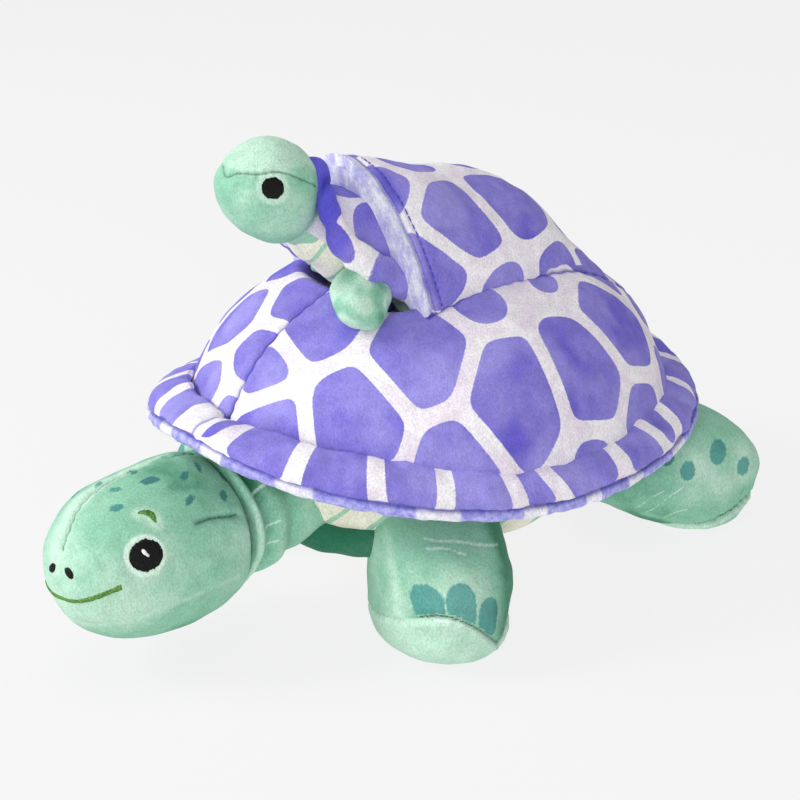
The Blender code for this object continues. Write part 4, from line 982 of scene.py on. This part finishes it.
def head():
    """Mother's head: a ball behind and a blunt snout in front, with a seam over the top, a cheek dart on
    each side, a seam where the neck is sewn on, printed spots, and an embroidered face."""
    forward = HEAD_TURN @ FORWARD
    rows = round_end(HEAD_RADIUS, HEAD_RADIUS, HEAD_RADIUS, 4)[:-1]
    snout = [(HEAD_RADIUS + HEAD_SNOUT * a, *(HEAD_RADIUS * v for v in rest)) for a, *rest in HEAD_SHARES]
    start, end = HEAD_CENTRE - forward * HEAD_RADIUS, HEAD_CENTRE + forward * HEAD_SNOUT
    grid, poles = along_axis(start, end, UP, np.vstack([rows, snout]), 210, 260)
    top = through(on_head(grid, TOP_SEAM_AIMS), 60)
    darts = [on_head(grid, DART_AIMS, sign) for sign in (1, -1)]
    local = (grid - HEAD_CENTRE) @ HEAD_TURN
    behind = local[..., 1] - REAR_SEAM
    relief = 0.6 * lumps(grid, 42, 41) + 0.15 * lumps(grid, 12, 42)
    relief += seam(grid, top, 1.8, 1.2, 0.3, 5.5)
    gap = near_line(grid, top)[0]
    # Painted shade darkens the top seam, the darts and the seam where the neck is sewn on.
    crease = 0.75 * bell(gap, 0.6) * (local[..., 2] > 0)
    for line in darts:
        relief += seam(grid, line, 1.8, 1.5, 0.2, 6)
        crease = np.maximum(crease, 0.8 * bell(near_line(grid, line)[0], 0.7))
    relief -= 1.2 * bell(behind, 1.4) + 3.0 * np.clip(behind / 2.0, 0, 1)
    crease = np.maximum(crease, 0.8 * bell(behind - 0.5, 0.9))
    eyes = {side: on_head(grid, [EYE_AIM], sign)[0] for side, sign in SIDES.items()}
    for place in eyes.values():
        relief += bump_at(grid, place, 9, -1.0)
    places = np.vstack([on_head(grid, [spot[:2] for spot in HEAD_SPOTS], sign) for sign in (1, -1)])
    ways = unit(places - HEAD_CENTRE)
    level = unit(np.cross(ways, UP))
    longways = unit(level - 0.9 * np.cross(level, ways) * np.sign(places[:, :1]))
    mark = ovals(grid, places, longways, *([spot[at] for spot in HEAD_SPOTS] * 2 for at in (2, 3)))
    # Darker over the top towards the back; paler along the top seam, most on her right, round the eyes, along
    # the chin line and by the brows. Painted shade darkens the lower part of the head under the jaw.
    rise, ahead = local[..., 2] / HEAD_RADIUS, -local[..., 1] / HEAD_SNOUT
    tone = 0.20 + 0.40 * np.clip(rise * 1.6, 0, 1) * np.clip(1.15 - ahead * 0.8, 0, 1)
    tone += 0.12 * np.clip(1 - np.abs(ahead - 0.1) * 3, 0, 1) - 0.04 * np.clip(ahead - 0.4, 0, 1)
    tone += 0.8 * np.clip(-rise - 0.35, 0, 1)
    tone -= 0.55 * bell(gap, 7) * (local[..., 0] < 0) * (rise > 0) + 0.25 * bell(gap, 2.2)
    from_eye = np.min([np.linalg.norm(grid - place, axis=-1) for place in eyes.values()], axis=0)
    halo, chalk = bell(from_eye - 7.6, 1.5), 0.9 - np.abs(from_eye - 7.9)
    lower = on_head(grid, [(yaw, -24 + 6 * math.cos(math.radians(yaw))) for yaw in CHIN_YAWS])
    chin = near_line(grid, through(lower, 40))[0]
    relief -= 0.5 * bell(chin, 1.2)
    tone = tone - 0.4 * halo - 0.12 * bell(chin, 1.5)
    for sign in (1, -1):
        brow = on_head(grid, BROW_AIMS, sign)
        tone -= 0.45 * bell(near_line(grid, brow)[0], 3.2)
    grid = sewn(
        "head_cover", grid, relief, GREEN, "mint_plush", "mother_head", ["head"], poles=poles,
        tone=tone, mark=mark, chalk=chalk, crease=crease,
    )
    face(grid, eyes)
    sewing = laid_on(top, unit(top - HEAD_CENTRE), grid, 0.0)
    stitches("head_top_stitches", sewing[:42], 2.6, 1.7, 0.5, DARK_GREEN_THREAD, "mint_plush", "mother_head")
    for side, line in zip(SIDES, darts):
        line = through(line, 20)[:-3]
        sewing = laid_on(line, unit(line - HEAD_CENTRE), grid, 0.0)
        stitches(
            f"dart_{side}_stitches", sewing, 2.4, 1.6, 0.5, DARK_GREEN_THREAD, "mint_plush", "mother_head"
        )


def face(grid, eyes):
    """The embroidered face: round black eyes with a slanting white glint, olive brows and smile, two
    nostrils."""
    up, left = HEAD_TURN @ UP, HEAD_TURN @ LEFT
    for side, sign in SIDES.items():
        place = eyes[side]
        normal = unit(place - HEAD_CENTRE)
        satin_patch(
            f"eye_{side}_satin", place, normal, up, 6.35, 7.0,
            grid, BLACK_THREAD, "mother_head", [f"eye_{side}"],
        )
        slant = unit(up - 0.8 * sign * left)
        for index, (shift, lift, half, tall) in enumerate(((-0.3, 1.5, 0.75, 1.7), (1.0, 0.4, 0.5, 1.1))):
            satin_patch(
                f"eye_{side}_glint_{index}", place + shift * sign * left + lift * up, normal, slant,
                half, tall, grid, WHITE_THREAD, "mother_head", [], crown=1.8,
            )
        nostril = on_head(grid, [(NOSE_YAW + sign * 5.6, 5.6)])[0]
        satin_patch(
            f"nostril_{side}_satin", nostril, unit(nostril - HEAD_CENTRE), unit(up - 1.4 * sign * left),
            1.9, 3.1, grid, BLACK_THREAD, "mother_head", [f"nostril_{side}"], crown=0.8,
        )
        brow = on_head(grid, BROW_AIMS, sign)
        width = lambda share: 0.35 + 1.2 * np.sin(np.pi * share) ** 0.8
        satin_stroke(f"brow_{side}_satin", brow, width, grid, [f"brow_{side}"])
    smile = on_head(grid, SMILE_AIMS)
    satin_stroke("smile_satin", smile, lambda share: 1.3 - 0.35 * bell(share - 0.5, 0.25), grid, ["mouth"])


# The neck's round root, and the neck ahead of it, as shares: how far on, half width, rise and drop.
NECK_ROOT_SHARES = (1, 0.74, 1, 0.6)
NECK_SHARES = (
    (0.26, 0.71, 0.98, 0.90),
    (0.52, 0.70, 0.97, 1.12),
    (0.76, 0.71, 0.95, 1.26),
    (0.94, 0.60, 0.84, 1.10),
)
NECK_STROKES = (((-93, 71), (-85, 73)), ((-91, 55), (-83, 59)), ((-92, 43), (-84, 50)))


def strokes(points, lines, half_width):
    """Signed distance in mm into pale brush strokes: thin lines bowed a little, given by their ends."""
    best = np.full(points.shape[:-1], NO_MARK)
    for a, b in lines:
        a, b = np.asarray(a, float), np.asarray(b, float)
        bow = np.zeros(len(a))
        bow[-1] = 0.08 * np.linalg.norm(b - a)
        best = np.maximum(best, half_width - near_line(points, through([a, (a + b) / 2 + bow, b], 8))[0])
    return best


def neck():
    """Mother's neck, which draws in from the shell to the head, with soft folds across it and a turned rim
    where the head is sewn on."""
    radius, half = NECK_ROOT_RADIUS, NECK_ROOT_HALF_HEIGHT
    start = NECK_PIVOT - FORWARD * radius
    rows = [(radius + NECK_LENGTH * a, radius * b, half * c, half * d) for a, b, c, d in NECK_SHARES]
    stations = np.vstack([round_end(radius, radius, half, 4) * NECK_ROOT_SHARES, rows])
    grid, poles = along_axis(start, start + FORWARD * (radius + NECK_LENGTH), UP, stations, 170, 240)
    behind = ((grid - HEAD_CENTRE) @ HEAD_TURN)[..., 1] - REAR_SEAM
    bent = behind + 1.6 * np.sin(grid[..., 2] / 11) + 2.0 * lumps(grid, 34, 52)
    relief = 1.9 * bell(behind - 2.0, 2.4) - 2.2 * bell(bent - 7.5, 2.6)
    relief += 1.8 * bell(bent - 13.5, 4) - 1.6 * bell(bent - 20.5, 3)
    relief += 0.7 * lumps(grid, 30, 51) + 0.15 * lumps(grid, 9, 53) - 7 * np.clip((-0.4 - behind) / 3, 0, 1)
    height = grid[..., 2]
    # Painted shade darkens the top under the brim and the valleys of the folds, a painted highlight pales the
    # ridge of the rim by the head, and the neck is paler low down.
    tone = 0.40 + 0.3 * np.clip((height - 66) / 12, 0, 1) - 0.12 * np.clip((50 - height) / 20, 0, 1)
    tone += 0.35 * bell(bent - 8, 3) + 0.25 * bell(bent - 20.5, 3) - 0.3 * bell(behind - 2.2, 2)
    # Painted shade where the neck runs in under the head.
    crease = 0.7 * np.clip((0.2 - behind) / 1.2, 0, 1)
    chalk = strokes(grid[..., 1:], NECK_STROKES, 0.5)
    sewn(
        "neck_cover", grid, relief, GREEN, "mint_plush", "mother_neck", ["neck"], poles,
        tone=tone, chalk=chalk, crease=crease,
    )


FRONT_LEG_SHARES = (
    (0.97, 0.0, 0.52, 0.60, 0.52),
    (0.80, 0.0, 0.90, 1.28, 0.90),
    (0.46, 0.0, 1.02, 1.68, 1.02),
    (0.20, 0.0, 0.97, 1.66, 0.99),
    (0.05, 0.14, 1.0, 1.26, 0.92),
    (0.0, 0.22, 0.70, 0.86, 0.66),
)
HIND_LEG_SHARES = (
    (0.97, 0.0, 0.52, 1.45, 0.52),
    (0.80, 0.0, 0.90, 2.25, 0.88),
    (0.50, 0.0, 1.0, 2.68, 1.0),
    (0.28, 0.85, 1.15, 1.82, 0.94),
    (0.08, 1.45, 0.90, 1.06, 0.78),
    (0.0, 1.58, 0.62, 0.68, 0.54),
)
LEG_SHARES = {"front": FRONT_LEG_SHARES, "hind": HIND_LEG_SHARES}


def leg_grid(which, side):
    """A leg about its upright hip line. Each ring is half of one oval outward and half of another inward,
    and the rings follow a smooth curve from the top to the flat sole. Also returns how far out and across
    each point is."""
    rows, spokes = 150, 240
    sizes, sign = LEGS[which], SIDES[side]
    radius, top, shares = sizes["radius"], sizes["top"], LEG_SHARES[which]
    hip = np.array((sign * sizes["hip"][0], sizes["hip"][1], 0.0))
    outward = np.array((sign * math.cos(sizes["heading"]), math.sin(sizes["heading"]), 0.0))
    square = np.cross(UP, outward)
    table = np.vstack([(1.0, 0, 0, 0, 0), shares, (0.0, shares[-1][1], 0, 0, 0)])
    curve = through(table, rows + 2, (2, 3, 4))[1:-1]
    height, shift, inward, ahead, half = (curve[:, at : at + 1] for at in range(5))
    angle = circle(spokes)[None]
    reach = np.where(np.cos(angle) > 0, ahead, inward)
    along = radius * (shift + reach * np.cos(angle))
    across = radius * half * np.sin(angle)
    level = np.maximum(height * top, 0.25) + 0 * along
    grid = hip + along[..., None] * outward + across[..., None] * square + level[..., None] * UP
    return grid, along, across, (hip + UP * top, hip + outward * radius * shares[-1][1] + UP * 0.25)


# Marks printed on the legs. Across and along are in mm from the hip, outward side first.
TOENAILS = ((-14.5, 35.0, 6.3), (-1.5, 36.5, 6.2), (10.2, 30.0, 5.0))
LEG_STROKES = {
    "front": (((-12, 56.5), (21, 50.0)), ((-12, 54.0), (4, 52.5))),
    "hind": (((3, 21.5), (16, 29.5)), ((9, 18.0), (27, 30.0)), ((18, 13.5), (29, 18.0))),
}
HIND_SPOTS = ((29, 37.5, 4.3), (48, 42, 5.3), (63.5, 31, 4.0), (18, 46, 4.0))
SEAM_ARCH = 30.5


def leg(which, side):
    """A leg and its sole, parted by a sewn seam that arches over the toes in front."""
    grid, along, across, poles = leg_grid(which, side)
    sizes, sign, body = LEGS[which], SIDES[side], f"{which}_leg_{side}_body"
    radius = sizes["radius"]
    foot = radius * LEG_SHARES[which][-1][1]
    turned, height = across * sign, grid[..., 2]
    if which == "front":
        arch = SEAM_ARCH - 0.031 * (turned + 9) ** 2
        part = np.clip((along + 5) / 30, 0, 1)
        seam_z = sizes["sole"] + np.maximum(arch - sizes["sole"], -3) * part**2 * (3 - 2 * part)
    else:
        seam_z = sizes["sole"] + math.tan(SOLE_TILT) * (along - foot)
    below = height - seam_z
    relief = (0.7 * lumps(grid, 36, 61 + sign) + 0.18 * lumps(grid, 11, 62)) * np.clip(height / 3, 0, 1)
    sharp = 0.25 + 0.75 * np.clip((turned + 22) / 5, 0, 1) if which == "front" else 1.0
    relief = relief - 1.5 * sharp * bell(below, 1.4) + 0.9 * sharp * bell(below + 3.2, 2.4)
    relief += 0.35 * bell(below, 4) * np.sin((across + along) / 1.1)
    ridge = np.abs(turned + 0.82 * radius) + np.maximum(0, 8 - along) * 0.5
    # Front leg: painted shade darkens the top under the brim and the rear side, and a painted highlight
    # lights the middle of the front. Hind leg: painted shade darkens the top, the part by the hip under the
    # shell, the lower part and the sole. A painted highlight runs along one edge of each leg.
    if which == "front":
        tone = 0.36 + 0.2 * np.clip((height - 44) / 18, 0, 1) + 0.6 * np.clip((turned - 12) / 10, 0, 1)
        tone -= 0.3 * bell(turned, 12) * bell(height - 38, 12)
    else:
        tone = 0.28 + 0.25 * np.clip((height - 38) / 20, 0, 1) + 0.4 * np.clip((34 - along) / 26, 0, 1)
        tone += 0.4 * np.clip((24 - height) / 14, 0, 1)
    tone -= 0.2 * bell(ridge, 1.6)
    tone = np.where(below < 0, 0.14 if which == "front" else 0.42, tone) - 0.35 * bell(below + 2.2, 1.4)
    # Painted shade in the sole seam.
    crease = (0.75 if which == "front" else 0.4) * sharp * bell(below, 0.6)
    mark = np.full(tone.shape, NO_MARK)
    if which == "front":
        for place, middle, half in TOENAILS:
            above = np.maximum(height - middle, (middle - height) * 0.35)
            petal = np.hypot((turned - place) / half, above / (1.15 * half))
            mark = np.maximum(mark, np.where(along > 0.4 * radius, half * (1 - petal), NO_MARK))
        flat, shown = np.stack([turned, height], -1), along > 0.3 * radius
    else:
        for place, middle, half in HIND_SPOTS:
            spot = np.hypot((along - place) / half, (height - middle) / (1.15 * half))
            mark = np.maximum(mark, np.where(turned < 0, half * (1 - spot), NO_MARK))
        flat, shown = np.stack([along, height], -1), turned < -0.3 * radius
    chalk = np.where(shown, strokes(flat, LEG_STROKES[which], 0.35), NO_MARK)
    if which == "front":
        chalk = np.maximum(chalk, np.where(shown & (turned > -14), 0.5 - np.abs(below + 1.7), NO_MARK))
    mark = np.where(below > 0.6, mark, NO_MARK)
    grid = sewn(
        f"{which}_foot_{side}_cover", grid, relief, GREEN, "mint_plush", body,
        [f"{which}_leg_{side}", f"{which}_sole_{side}"], poles,
        tone=tone, mark=mark, chalk=chalk, crease=crease,
    )
    spokes = grid.shape[1]
    sewing = grid[np.abs(below).argmin(0), np.arange(spokes)]
    ahead = np.abs(wrapped(circle(spokes)))
    sewn_on = (ahead < 1.25) & ((which == "hind") | (turned[len(turned) // 2] > -19))
    sewing = np.roll(sewing, spokes // 2, 0)[np.roll(sewn_on, spokes // 2)]
    stitches(f"{which}_sole_{side}_stitches", sewing, 2.8, 1.9, 0.55, DARK_GREEN_THREAD, "mint_plush", body)


def chest_bands():
    """The green bands from each front leg to the neck: soft tubes round the belly's front, darkened to deep
    green all over with painted shade, since they lie under the body.
    """
    for side, sign in SIDES.items():
        turn = np.linspace(-0.42, -1.42, 60)
        x = sign * 0.93 * BELLY_WIDTH / 2 * np.cos(turn)
        y = BELLY_CENTRE_Y + 0.93 * BELLY_LENGTH / 2 * np.sin(turn)
        line = np.stack([x, y, 42.5 + 0 * turn], -1)
        tangent = unit(np.gradient(line, axis=0))
        out = np.cross(tangent, UP)
        angle = circle(40)
        swell = 6.8 * np.sqrt(np.clip(1 - np.linspace(-1, 1, 60) ** 8, 0.02, 1))
        ring = np.cos(angle)[None, :, None] * out[:, None] + 1.05 * np.sin(angle)[None, :, None] * UP
        grid = line[:, None] + ring * swell[:, None, None]
        relief = 0.4 * lumps(grid, 14, 71)
        # Painted shade: the darkest green, with a dark overlay all over.
        sewn(
            f"chest_band_{side}_cover", grid, relief, GREEN, "deep_green_plush", "mother_trunk",
            [f"chest_band_{side}"], tone=1.0, crease=0.35,
        )


def even_rows(length, half, rise, shares):
    """Stations along a form from (how far on, size) shares of its length, and of its half width and
    rise."""
    return [(length * far, half * size, rise * size, rise * size) for far, size in shares]


def tail():
    """The short stuffed tail, which droops a little."""
    start = np.array((0, BELLY_CENTRE_Y + 104 - TAIL_LENGTH / 3, TAIL_Z))
    end = start + np.array((0, TAIL_LENGTH, -TAIL_LENGTH / 3))
    stations = even_rows(TAIL_LENGTH, TAIL_RADIUS, TAIL_RADIUS, ((0.08, 0.8), (0.45, 0.95), (0.88, 0.42)))
    grid, poles = along_axis(start, end, UP, stations, 60, 90)
    sewn(
        "tail_cover", grid, 0.5 * lumps(grid, 16, 81), GREEN, "mint_plush", "mother_trunk", ["tail"], poles,
        tone=0.45,
    )


def baby_point(across, forward, up):
    """A place in the baby's own frame: mm to its left, ahead of its head's centre and over it."""
    return BABY_CENTRE + across * LEFT + forward * BABY_ALONG + up * BABY_OVER


def baby_head():
    """The baby's head, with a seam round it above the eyes and a round black eye on each side."""
    forward = np.array((0, -math.cos(BABY_HEAD_DROOP), -math.sin(BABY_HEAD_DROOP)))
    shares = ((0.0, 1.0), (0.40, 0.93), (0.74, 0.73), (0.93, 0.44))
    rows = round_end(BABY_HEAD_RADIUS, BABY_HEAD_RADIUS, BABY_HEAD_RADIUS, 4)[:-1]
    snout = [(BABY_HEAD_RADIUS + BABY_HEAD_SNOUT * a, *([BABY_HEAD_RADIUS * b] * 3)) for a, b in shares]
    start, end = BABY_CENTRE - forward * BABY_HEAD_RADIUS, BABY_CENTRE + forward * BABY_HEAD_SNOUT
    grid, poles = along_axis(start, end, UP, np.vstack([rows, snout]), 130, 170)
    half = ((17, 32), (44, 34), (67, 36.5), (87, 31), (107, 19), (128, 8))
    around = [(-yaw, pitch) for yaw, pitch in half[::-1]] + [(0, 25), *half]
    line = through(seen_at(grid, BABY_CENTRE, aims(around)), 70)
    relief = 0.35 * lumps(grid, 26, 91) + 0.1 * lumps(grid, 9, 92) + seam(grid, line, 1.0, 1.0, 0.2, 4.5)
    below = (BABY_CENTRE[2] - grid[..., 2]) / BABY_HEAD_RADIUS
    relief += 1.6 * np.clip(below, 0, 1) * bell(BABY_CENTRE[1] + 2 - grid[..., 1], 16)
    chin = unit(grid - BABY_CENTRE) @ np.array((0, -0.75, -0.66))
    relief -= 3.6 * np.clip(chin, 0, 1) ** 3
    gap = near_line(grid, line)[0]
    # Painted shade in the seam.
    crease = 0.7 * bell(gap, 0.45)
    # Lighter above the seam; painted shade darkens the lower part towards the chin. A darker band runs along
    # the seam, paler right on it, and pale rings go round the eyes.
    tone = 0.32 - 0.24 * np.clip((-below - 0.35) / 0.3, 0, 1) + 0.5 * np.clip(below - 0.55, 0, 1)
    tone += 0.07 * lumps(grid, 18, 93)
    tone += 0.16 * bell(gap, 5) * (below > -0.6) - 0.12 * bell(gap, 1.6)
    eyes = {s: seen_at(grid, BABY_CENTRE, aims([(sign * 61.3, 18.6)]))[0] for s, sign in SIDES.items()}
    for place in eyes.values():
        tone -= 0.5 * bell(np.linalg.norm(grid - place, axis=-1) - 5.6, 1.2)
        relief += bump_at(grid, place, 6, -0.7)
    grid = sewn(
        "baby_head_cover", grid, relief, GREEN, "pale_mint_plush", "baby_head_body", ["baby_head"], poles,
        tone=tone, crease=crease,
    )
    for side, place in eyes.items():
        satin_patch(
            f"baby_eye_{side}_satin", place, unit(place - BABY_CENTRE), UP, 4.9, 4.9, grid, BLACK_THREAD,
            "baby_head_body", [f"baby_eye_{side}"], crown=0.7,
        )


def baby_body():
    """The baby's neck, belly, shell, padded brim and feet."""
    shares = ((0.12, 0.82), (0.52, 1.0), (0.94, 0.82))
    rows = even_rows(BABY_NECK_BACK, BABY_NECK_RADIUS, BABY_NECK_RADIUS, shares)
    grid, poles = along_axis(BABY_CENTRE, baby_point(0, -BABY_NECK_BACK, 0), BABY_OVER, rows, 60, 110)
    sewn(
        "baby_neck_cover", grid, 0.4 * lumps(grid, 12, 101), GREEN, "mint_plush", "baby_trunk", ["baby_neck"],
        poles, tone=0.3,
    )
    back = BABY_SHELL_FRONT + BABY_SHELL_LENGTH - BABY_BELLY_LENGTH
    shares = (
        (0.06, 0.56, 0.78, 0.76), (0.36, 0.86, 0.93, 0.95), (0.70, 1.0, 1.0, 1.0), (0.95, 0.62, 0.62, 0.62),
    )
    rows = np.array(shares) * (BABY_BELLY_LENGTH, BABY_BELLY_WIDTH / 2, BABY_NECK_RADIUS, BABY_BELLY_DROP)
    start, end = baby_point(0, -back, 0), baby_point(0, -back - BABY_BELLY_LENGTH, 0)
    grid, poles = along_axis(start, end, BABY_OVER, rows, 80, 130)
    run = -(grid - BABY_CENTRE) @ BABY_ALONG
    stripe = 1.1 - np.abs((run + 0.5 * grid[..., 0]) % 15 - 7)
    sewn(
        "baby_belly_cover", grid, 0.4 * lumps(grid, 14, 102), CREAM, "cream_plush", "baby_trunk",
        ["baby_belly"], poles, stripe=stripe,
    )
    baby_shell()
    baby_brim()
    baby_feet()


def boxy(wave):
    """A sine or cosine whose oval has squarer corners: its size to the power 0.72, with its sign kept."""
    return np.sign(wave) * np.abs(wave) ** 0.72


def baby_shell():
    """The baby's shell: a small dome with the same print."""
    share = np.linspace(0.01, 1, 80)[:, None]
    turn = circle(150)[None]
    radius, height = dome_profile(share)
    middle = BABY_SHELL_FRONT + BABY_SHELL_LENGTH / 2
    across = BABY_SHELL_WIDTH / 2 * radius * boxy(np.cos(turn))
    along = -middle - BABY_SHELL_LENGTH / 2 * radius * boxy(np.sin(turn))
    up = BABY_SHELL_BASE_U + BABY_SHELL_RISE * height + 0 * across
    grid = BABY_CENTRE + across[..., None] * LEFT + along[..., None] * BABY_ALONG + up[..., None] * BABY_OVER
    places = (
        (24, -48, 8), (-24, -48, 8), (0, -66, 18), (24, -74, 4), (-24, -74, 4), (0, -40, 18), (12, -86, 4),
    )
    printed = patch_print(grid, [(baby_point(*place), 14) for place in places], 3.0, 1.2)
    sewn(
        "baby_shell_cover", grid, 0.5 * lumps(grid, 16, 111), SCUTES, "lilac_print_plush", "baby_trunk",
        ["baby_shell"], print=printed, tone=0.1, crease=0.0,
    )


# Patches on the baby's brim, as (degrees from its front, degrees round its roll, half length, half height).
BABY_BRIM_PATCHES = ((52, -35, 14, 60), (92, 10, 13, 130), (130, 20, 14, 110), (168, 0, 15, 120))


def baby_brim():
    """The padded edge of the baby's shell, lifted behind the head, where it is deep blue."""
    turn = circle(360)
    middle = BABY_SHELL_FRONT + BABY_SHELL_LENGTH / 2
    forward = np.maximum(0, -np.sin(turn))
    across = (BABY_SHELL_WIDTH + BABY_BRIM_RADIUS) / 2 * boxy(np.cos(turn))
    along = -middle - (BABY_SHELL_LENGTH + BABY_BRIM_RADIUS) / 2 * boxy(np.sin(turn))
    up = BABY_SHELL_BASE_U + BABY_BRIM_LIFT * forward**4
    line = BABY_CENTRE + across[:, None] * LEFT + along[:, None] * BABY_ALONG + up[:, None] * BABY_OVER
    out = np.cos(turn)[:, None] * LEFT - np.sin(turn)[:, None] * BABY_ALONG
    around = circle(40)[:, None]
    ring = np.cos(around)[..., None] * out + 1.15 * np.sin(around)[..., None] * BABY_OVER
    grid = line + BABY_BRIM_RADIUS * ring
    printed = np.full(grid.shape[:2], -9.0)
    side = np.degrees(np.arccos(np.clip(-np.sin(turn), -1, 1)))
    for place, about, long, tall in BABY_BRIM_PATCHES:
        round_roll = wrapped(around - math.radians(about)) / math.radians(tall)
        far = np.hypot((side - place) / long, round_roll)
        printed = np.maximum(printed, 5 * (1 - far))
    tone = 0.9 * np.clip((forward - 0.70) / 0.1, 0, 1) + 0 * around
    printed = np.maximum(printed, 8 * tone - 2)
    # Painted shade darkens the fold near the front.
    fold = bell(side - 22, 3.5) * np.clip(np.sin(around) + 0.6, 0, 1)
    relief = 0.6 * lumps(grid, 14, 121) + 0.2 * lumps(grid, 6, 122) - 2.2 * fold
    sewn(
        "baby_brim_cover", grid, relief, SCUTES, "lilac_print_plush", "baby_trunk", ["baby_brim"],
        round_rows=True, print=printed, tone=tone, crease=0.75 * fold,
    )


def baby_feet():
    """The baby's feet: the left front one hangs over the pocket's lip, and the others are tucked in."""
    feet = {
        "front_foot_left": ((12, -57, -10), (42, -42, -30), 26, 23),
        "front_foot_right": ((-10, -72, -7), (-27, -62, -14), 16, 12),
        "hind_foot_left": ((10, -78, -6), (26, -93, -15), 18, 14),
        "hind_foot_right": ((-10, -78, -6), (-26, -93, -15), 18, 14),
    }
    for index, (name, (root, tip, width, thick)) in enumerate(feet.items()):
        start, end = baby_point(*root), baby_point(*tip)
        length = np.linalg.norm(end - start)
        rows = even_rows(length, width / 2, thick / 2, ((0.14, 0.6), (0.56, 1.0), (0.91, 0.7)))
        grid, poles = along_axis(start, end, BABY_OVER, rows, 80, 110)
        relief = 0.9 * lumps(grid, 19, 134 + index) + 0.15 * lumps(grid, 6, 132)
        sewn(
            f"baby_{name}_cover", grid, relief, GREEN, "pale_mint_plush", "baby_trunk",
            [f"baby_{name}"], poles, tone=0.20 + 0.4 * lumps(grid, 13, 141 + index),
        )


def build():
    """Both turtles."""
    shell()
    brim()
    hood()
    belly()
    chest_bands()
    tail()
    neck()
    head()
    for which in LEGS:
        for side in SIDES:
            leg(which, side)
    baby_head()
    baby_body()


# Studio
CAMERA_AZIMUTH = math.radians(50)
CAMERA_HEIGHT = math.radians(24)
CAMERA_DISTANCE = 0.9
CAMERA_TARGET = Vector((0, 0.0267, 0.060))
PIXELS = 800
FOCAL_PIXELS = 1890
TARGET_PIXEL = (428, 429)
SENSOR = 36
# Lamps as (name, place in metres, breadth in metres, power in watts)
LAMPS = (
    ("key", (-0.8, -1.2, 1.0), 0.8, 20.5),
    ("fill", (1.3, -1.2, 0.6), 1.4, 13.5),
    ("top", (-0.1, 0.0, 1.7), 1.0, 5),
)


def studio():
    """A pale floor that reaches past the frame, a broad soft key light on the toy's front right, a fill
    light on its front left, a weak light from above and a pale sky."""
    bpy.ops.mesh.primitive_plane_add(size=14)
    floor = bpy.context.object
    floor.name = "studio_floor"
    paper = Fabric("matt_paper")
    paper.shader.inputs["Roughness"].default_value = 1.0
    paper.shader.inputs["Base Color"].default_value = linear("#f2f2f2")
    lit = paper.add("blend", 0.9, paper.shader.outputs[0], paper.add("glow", "#f5f5f5", 1.0))
    paper.tree.links.new(lit, paper.tree.nodes["Material Output"].inputs["Surface"])
    floor.data.materials.append(paper.material)
    world = bpy.data.worlds.new("studio")
    bpy.context.scene.world = world
    world.use_nodes = True
    sky = world.node_tree.nodes["Background"]
    sky.inputs["Color"].default_value = linear("#f5f5f5")
    sky.inputs["Strength"].default_value = 0.46
    for name, place, size, power in LAMPS:
        data = bpy.data.lights.new(name, "AREA")
        data.shape = "DISK"
        data.size = size
        data.energy = power
        lamp = bpy.data.objects.new(name, data)
        lamp.location = place
        lamp.rotation_euler = (CAMERA_TARGET - lamp.location).to_track_quat("-Z", "Y").to_euler()
        bpy.context.scene.collection.objects.link(lamp)
    bpy.context.scene.view_settings.view_transform = "Standard"


def camera():
    """The photograph's view: the target stands a little off the middle of the frame, by the lens shift."""
    data = bpy.data.cameras.new("photo_view")
    data.sensor_width = SENSOR
    data.lens = FOCAL_PIXELS / PIXELS * SENSOR
    data.shift_x = (PIXELS / 2 - TARGET_PIXEL[0]) / PIXELS
    data.shift_y = (TARGET_PIXEL[1] - PIXELS / 2) / PIXELS
    view = bpy.data.objects.new("photo_view", data)
    level = math.cos(CAMERA_HEIGHT)
    back = Vector(
        (math.sin(CAMERA_AZIMUTH) * level, -math.cos(CAMERA_AZIMUTH) * level, math.sin(CAMERA_HEIGHT))
    )
    view.location = CAMERA_TARGET + back * CAMERA_DISTANCE
    view.rotation_euler = (-back).to_track_quat("-Z", "Y").to_euler()
    bpy.context.scene.collection.objects.link(view)
    bpy.context.scene.camera = view


build()
studio()
camera()
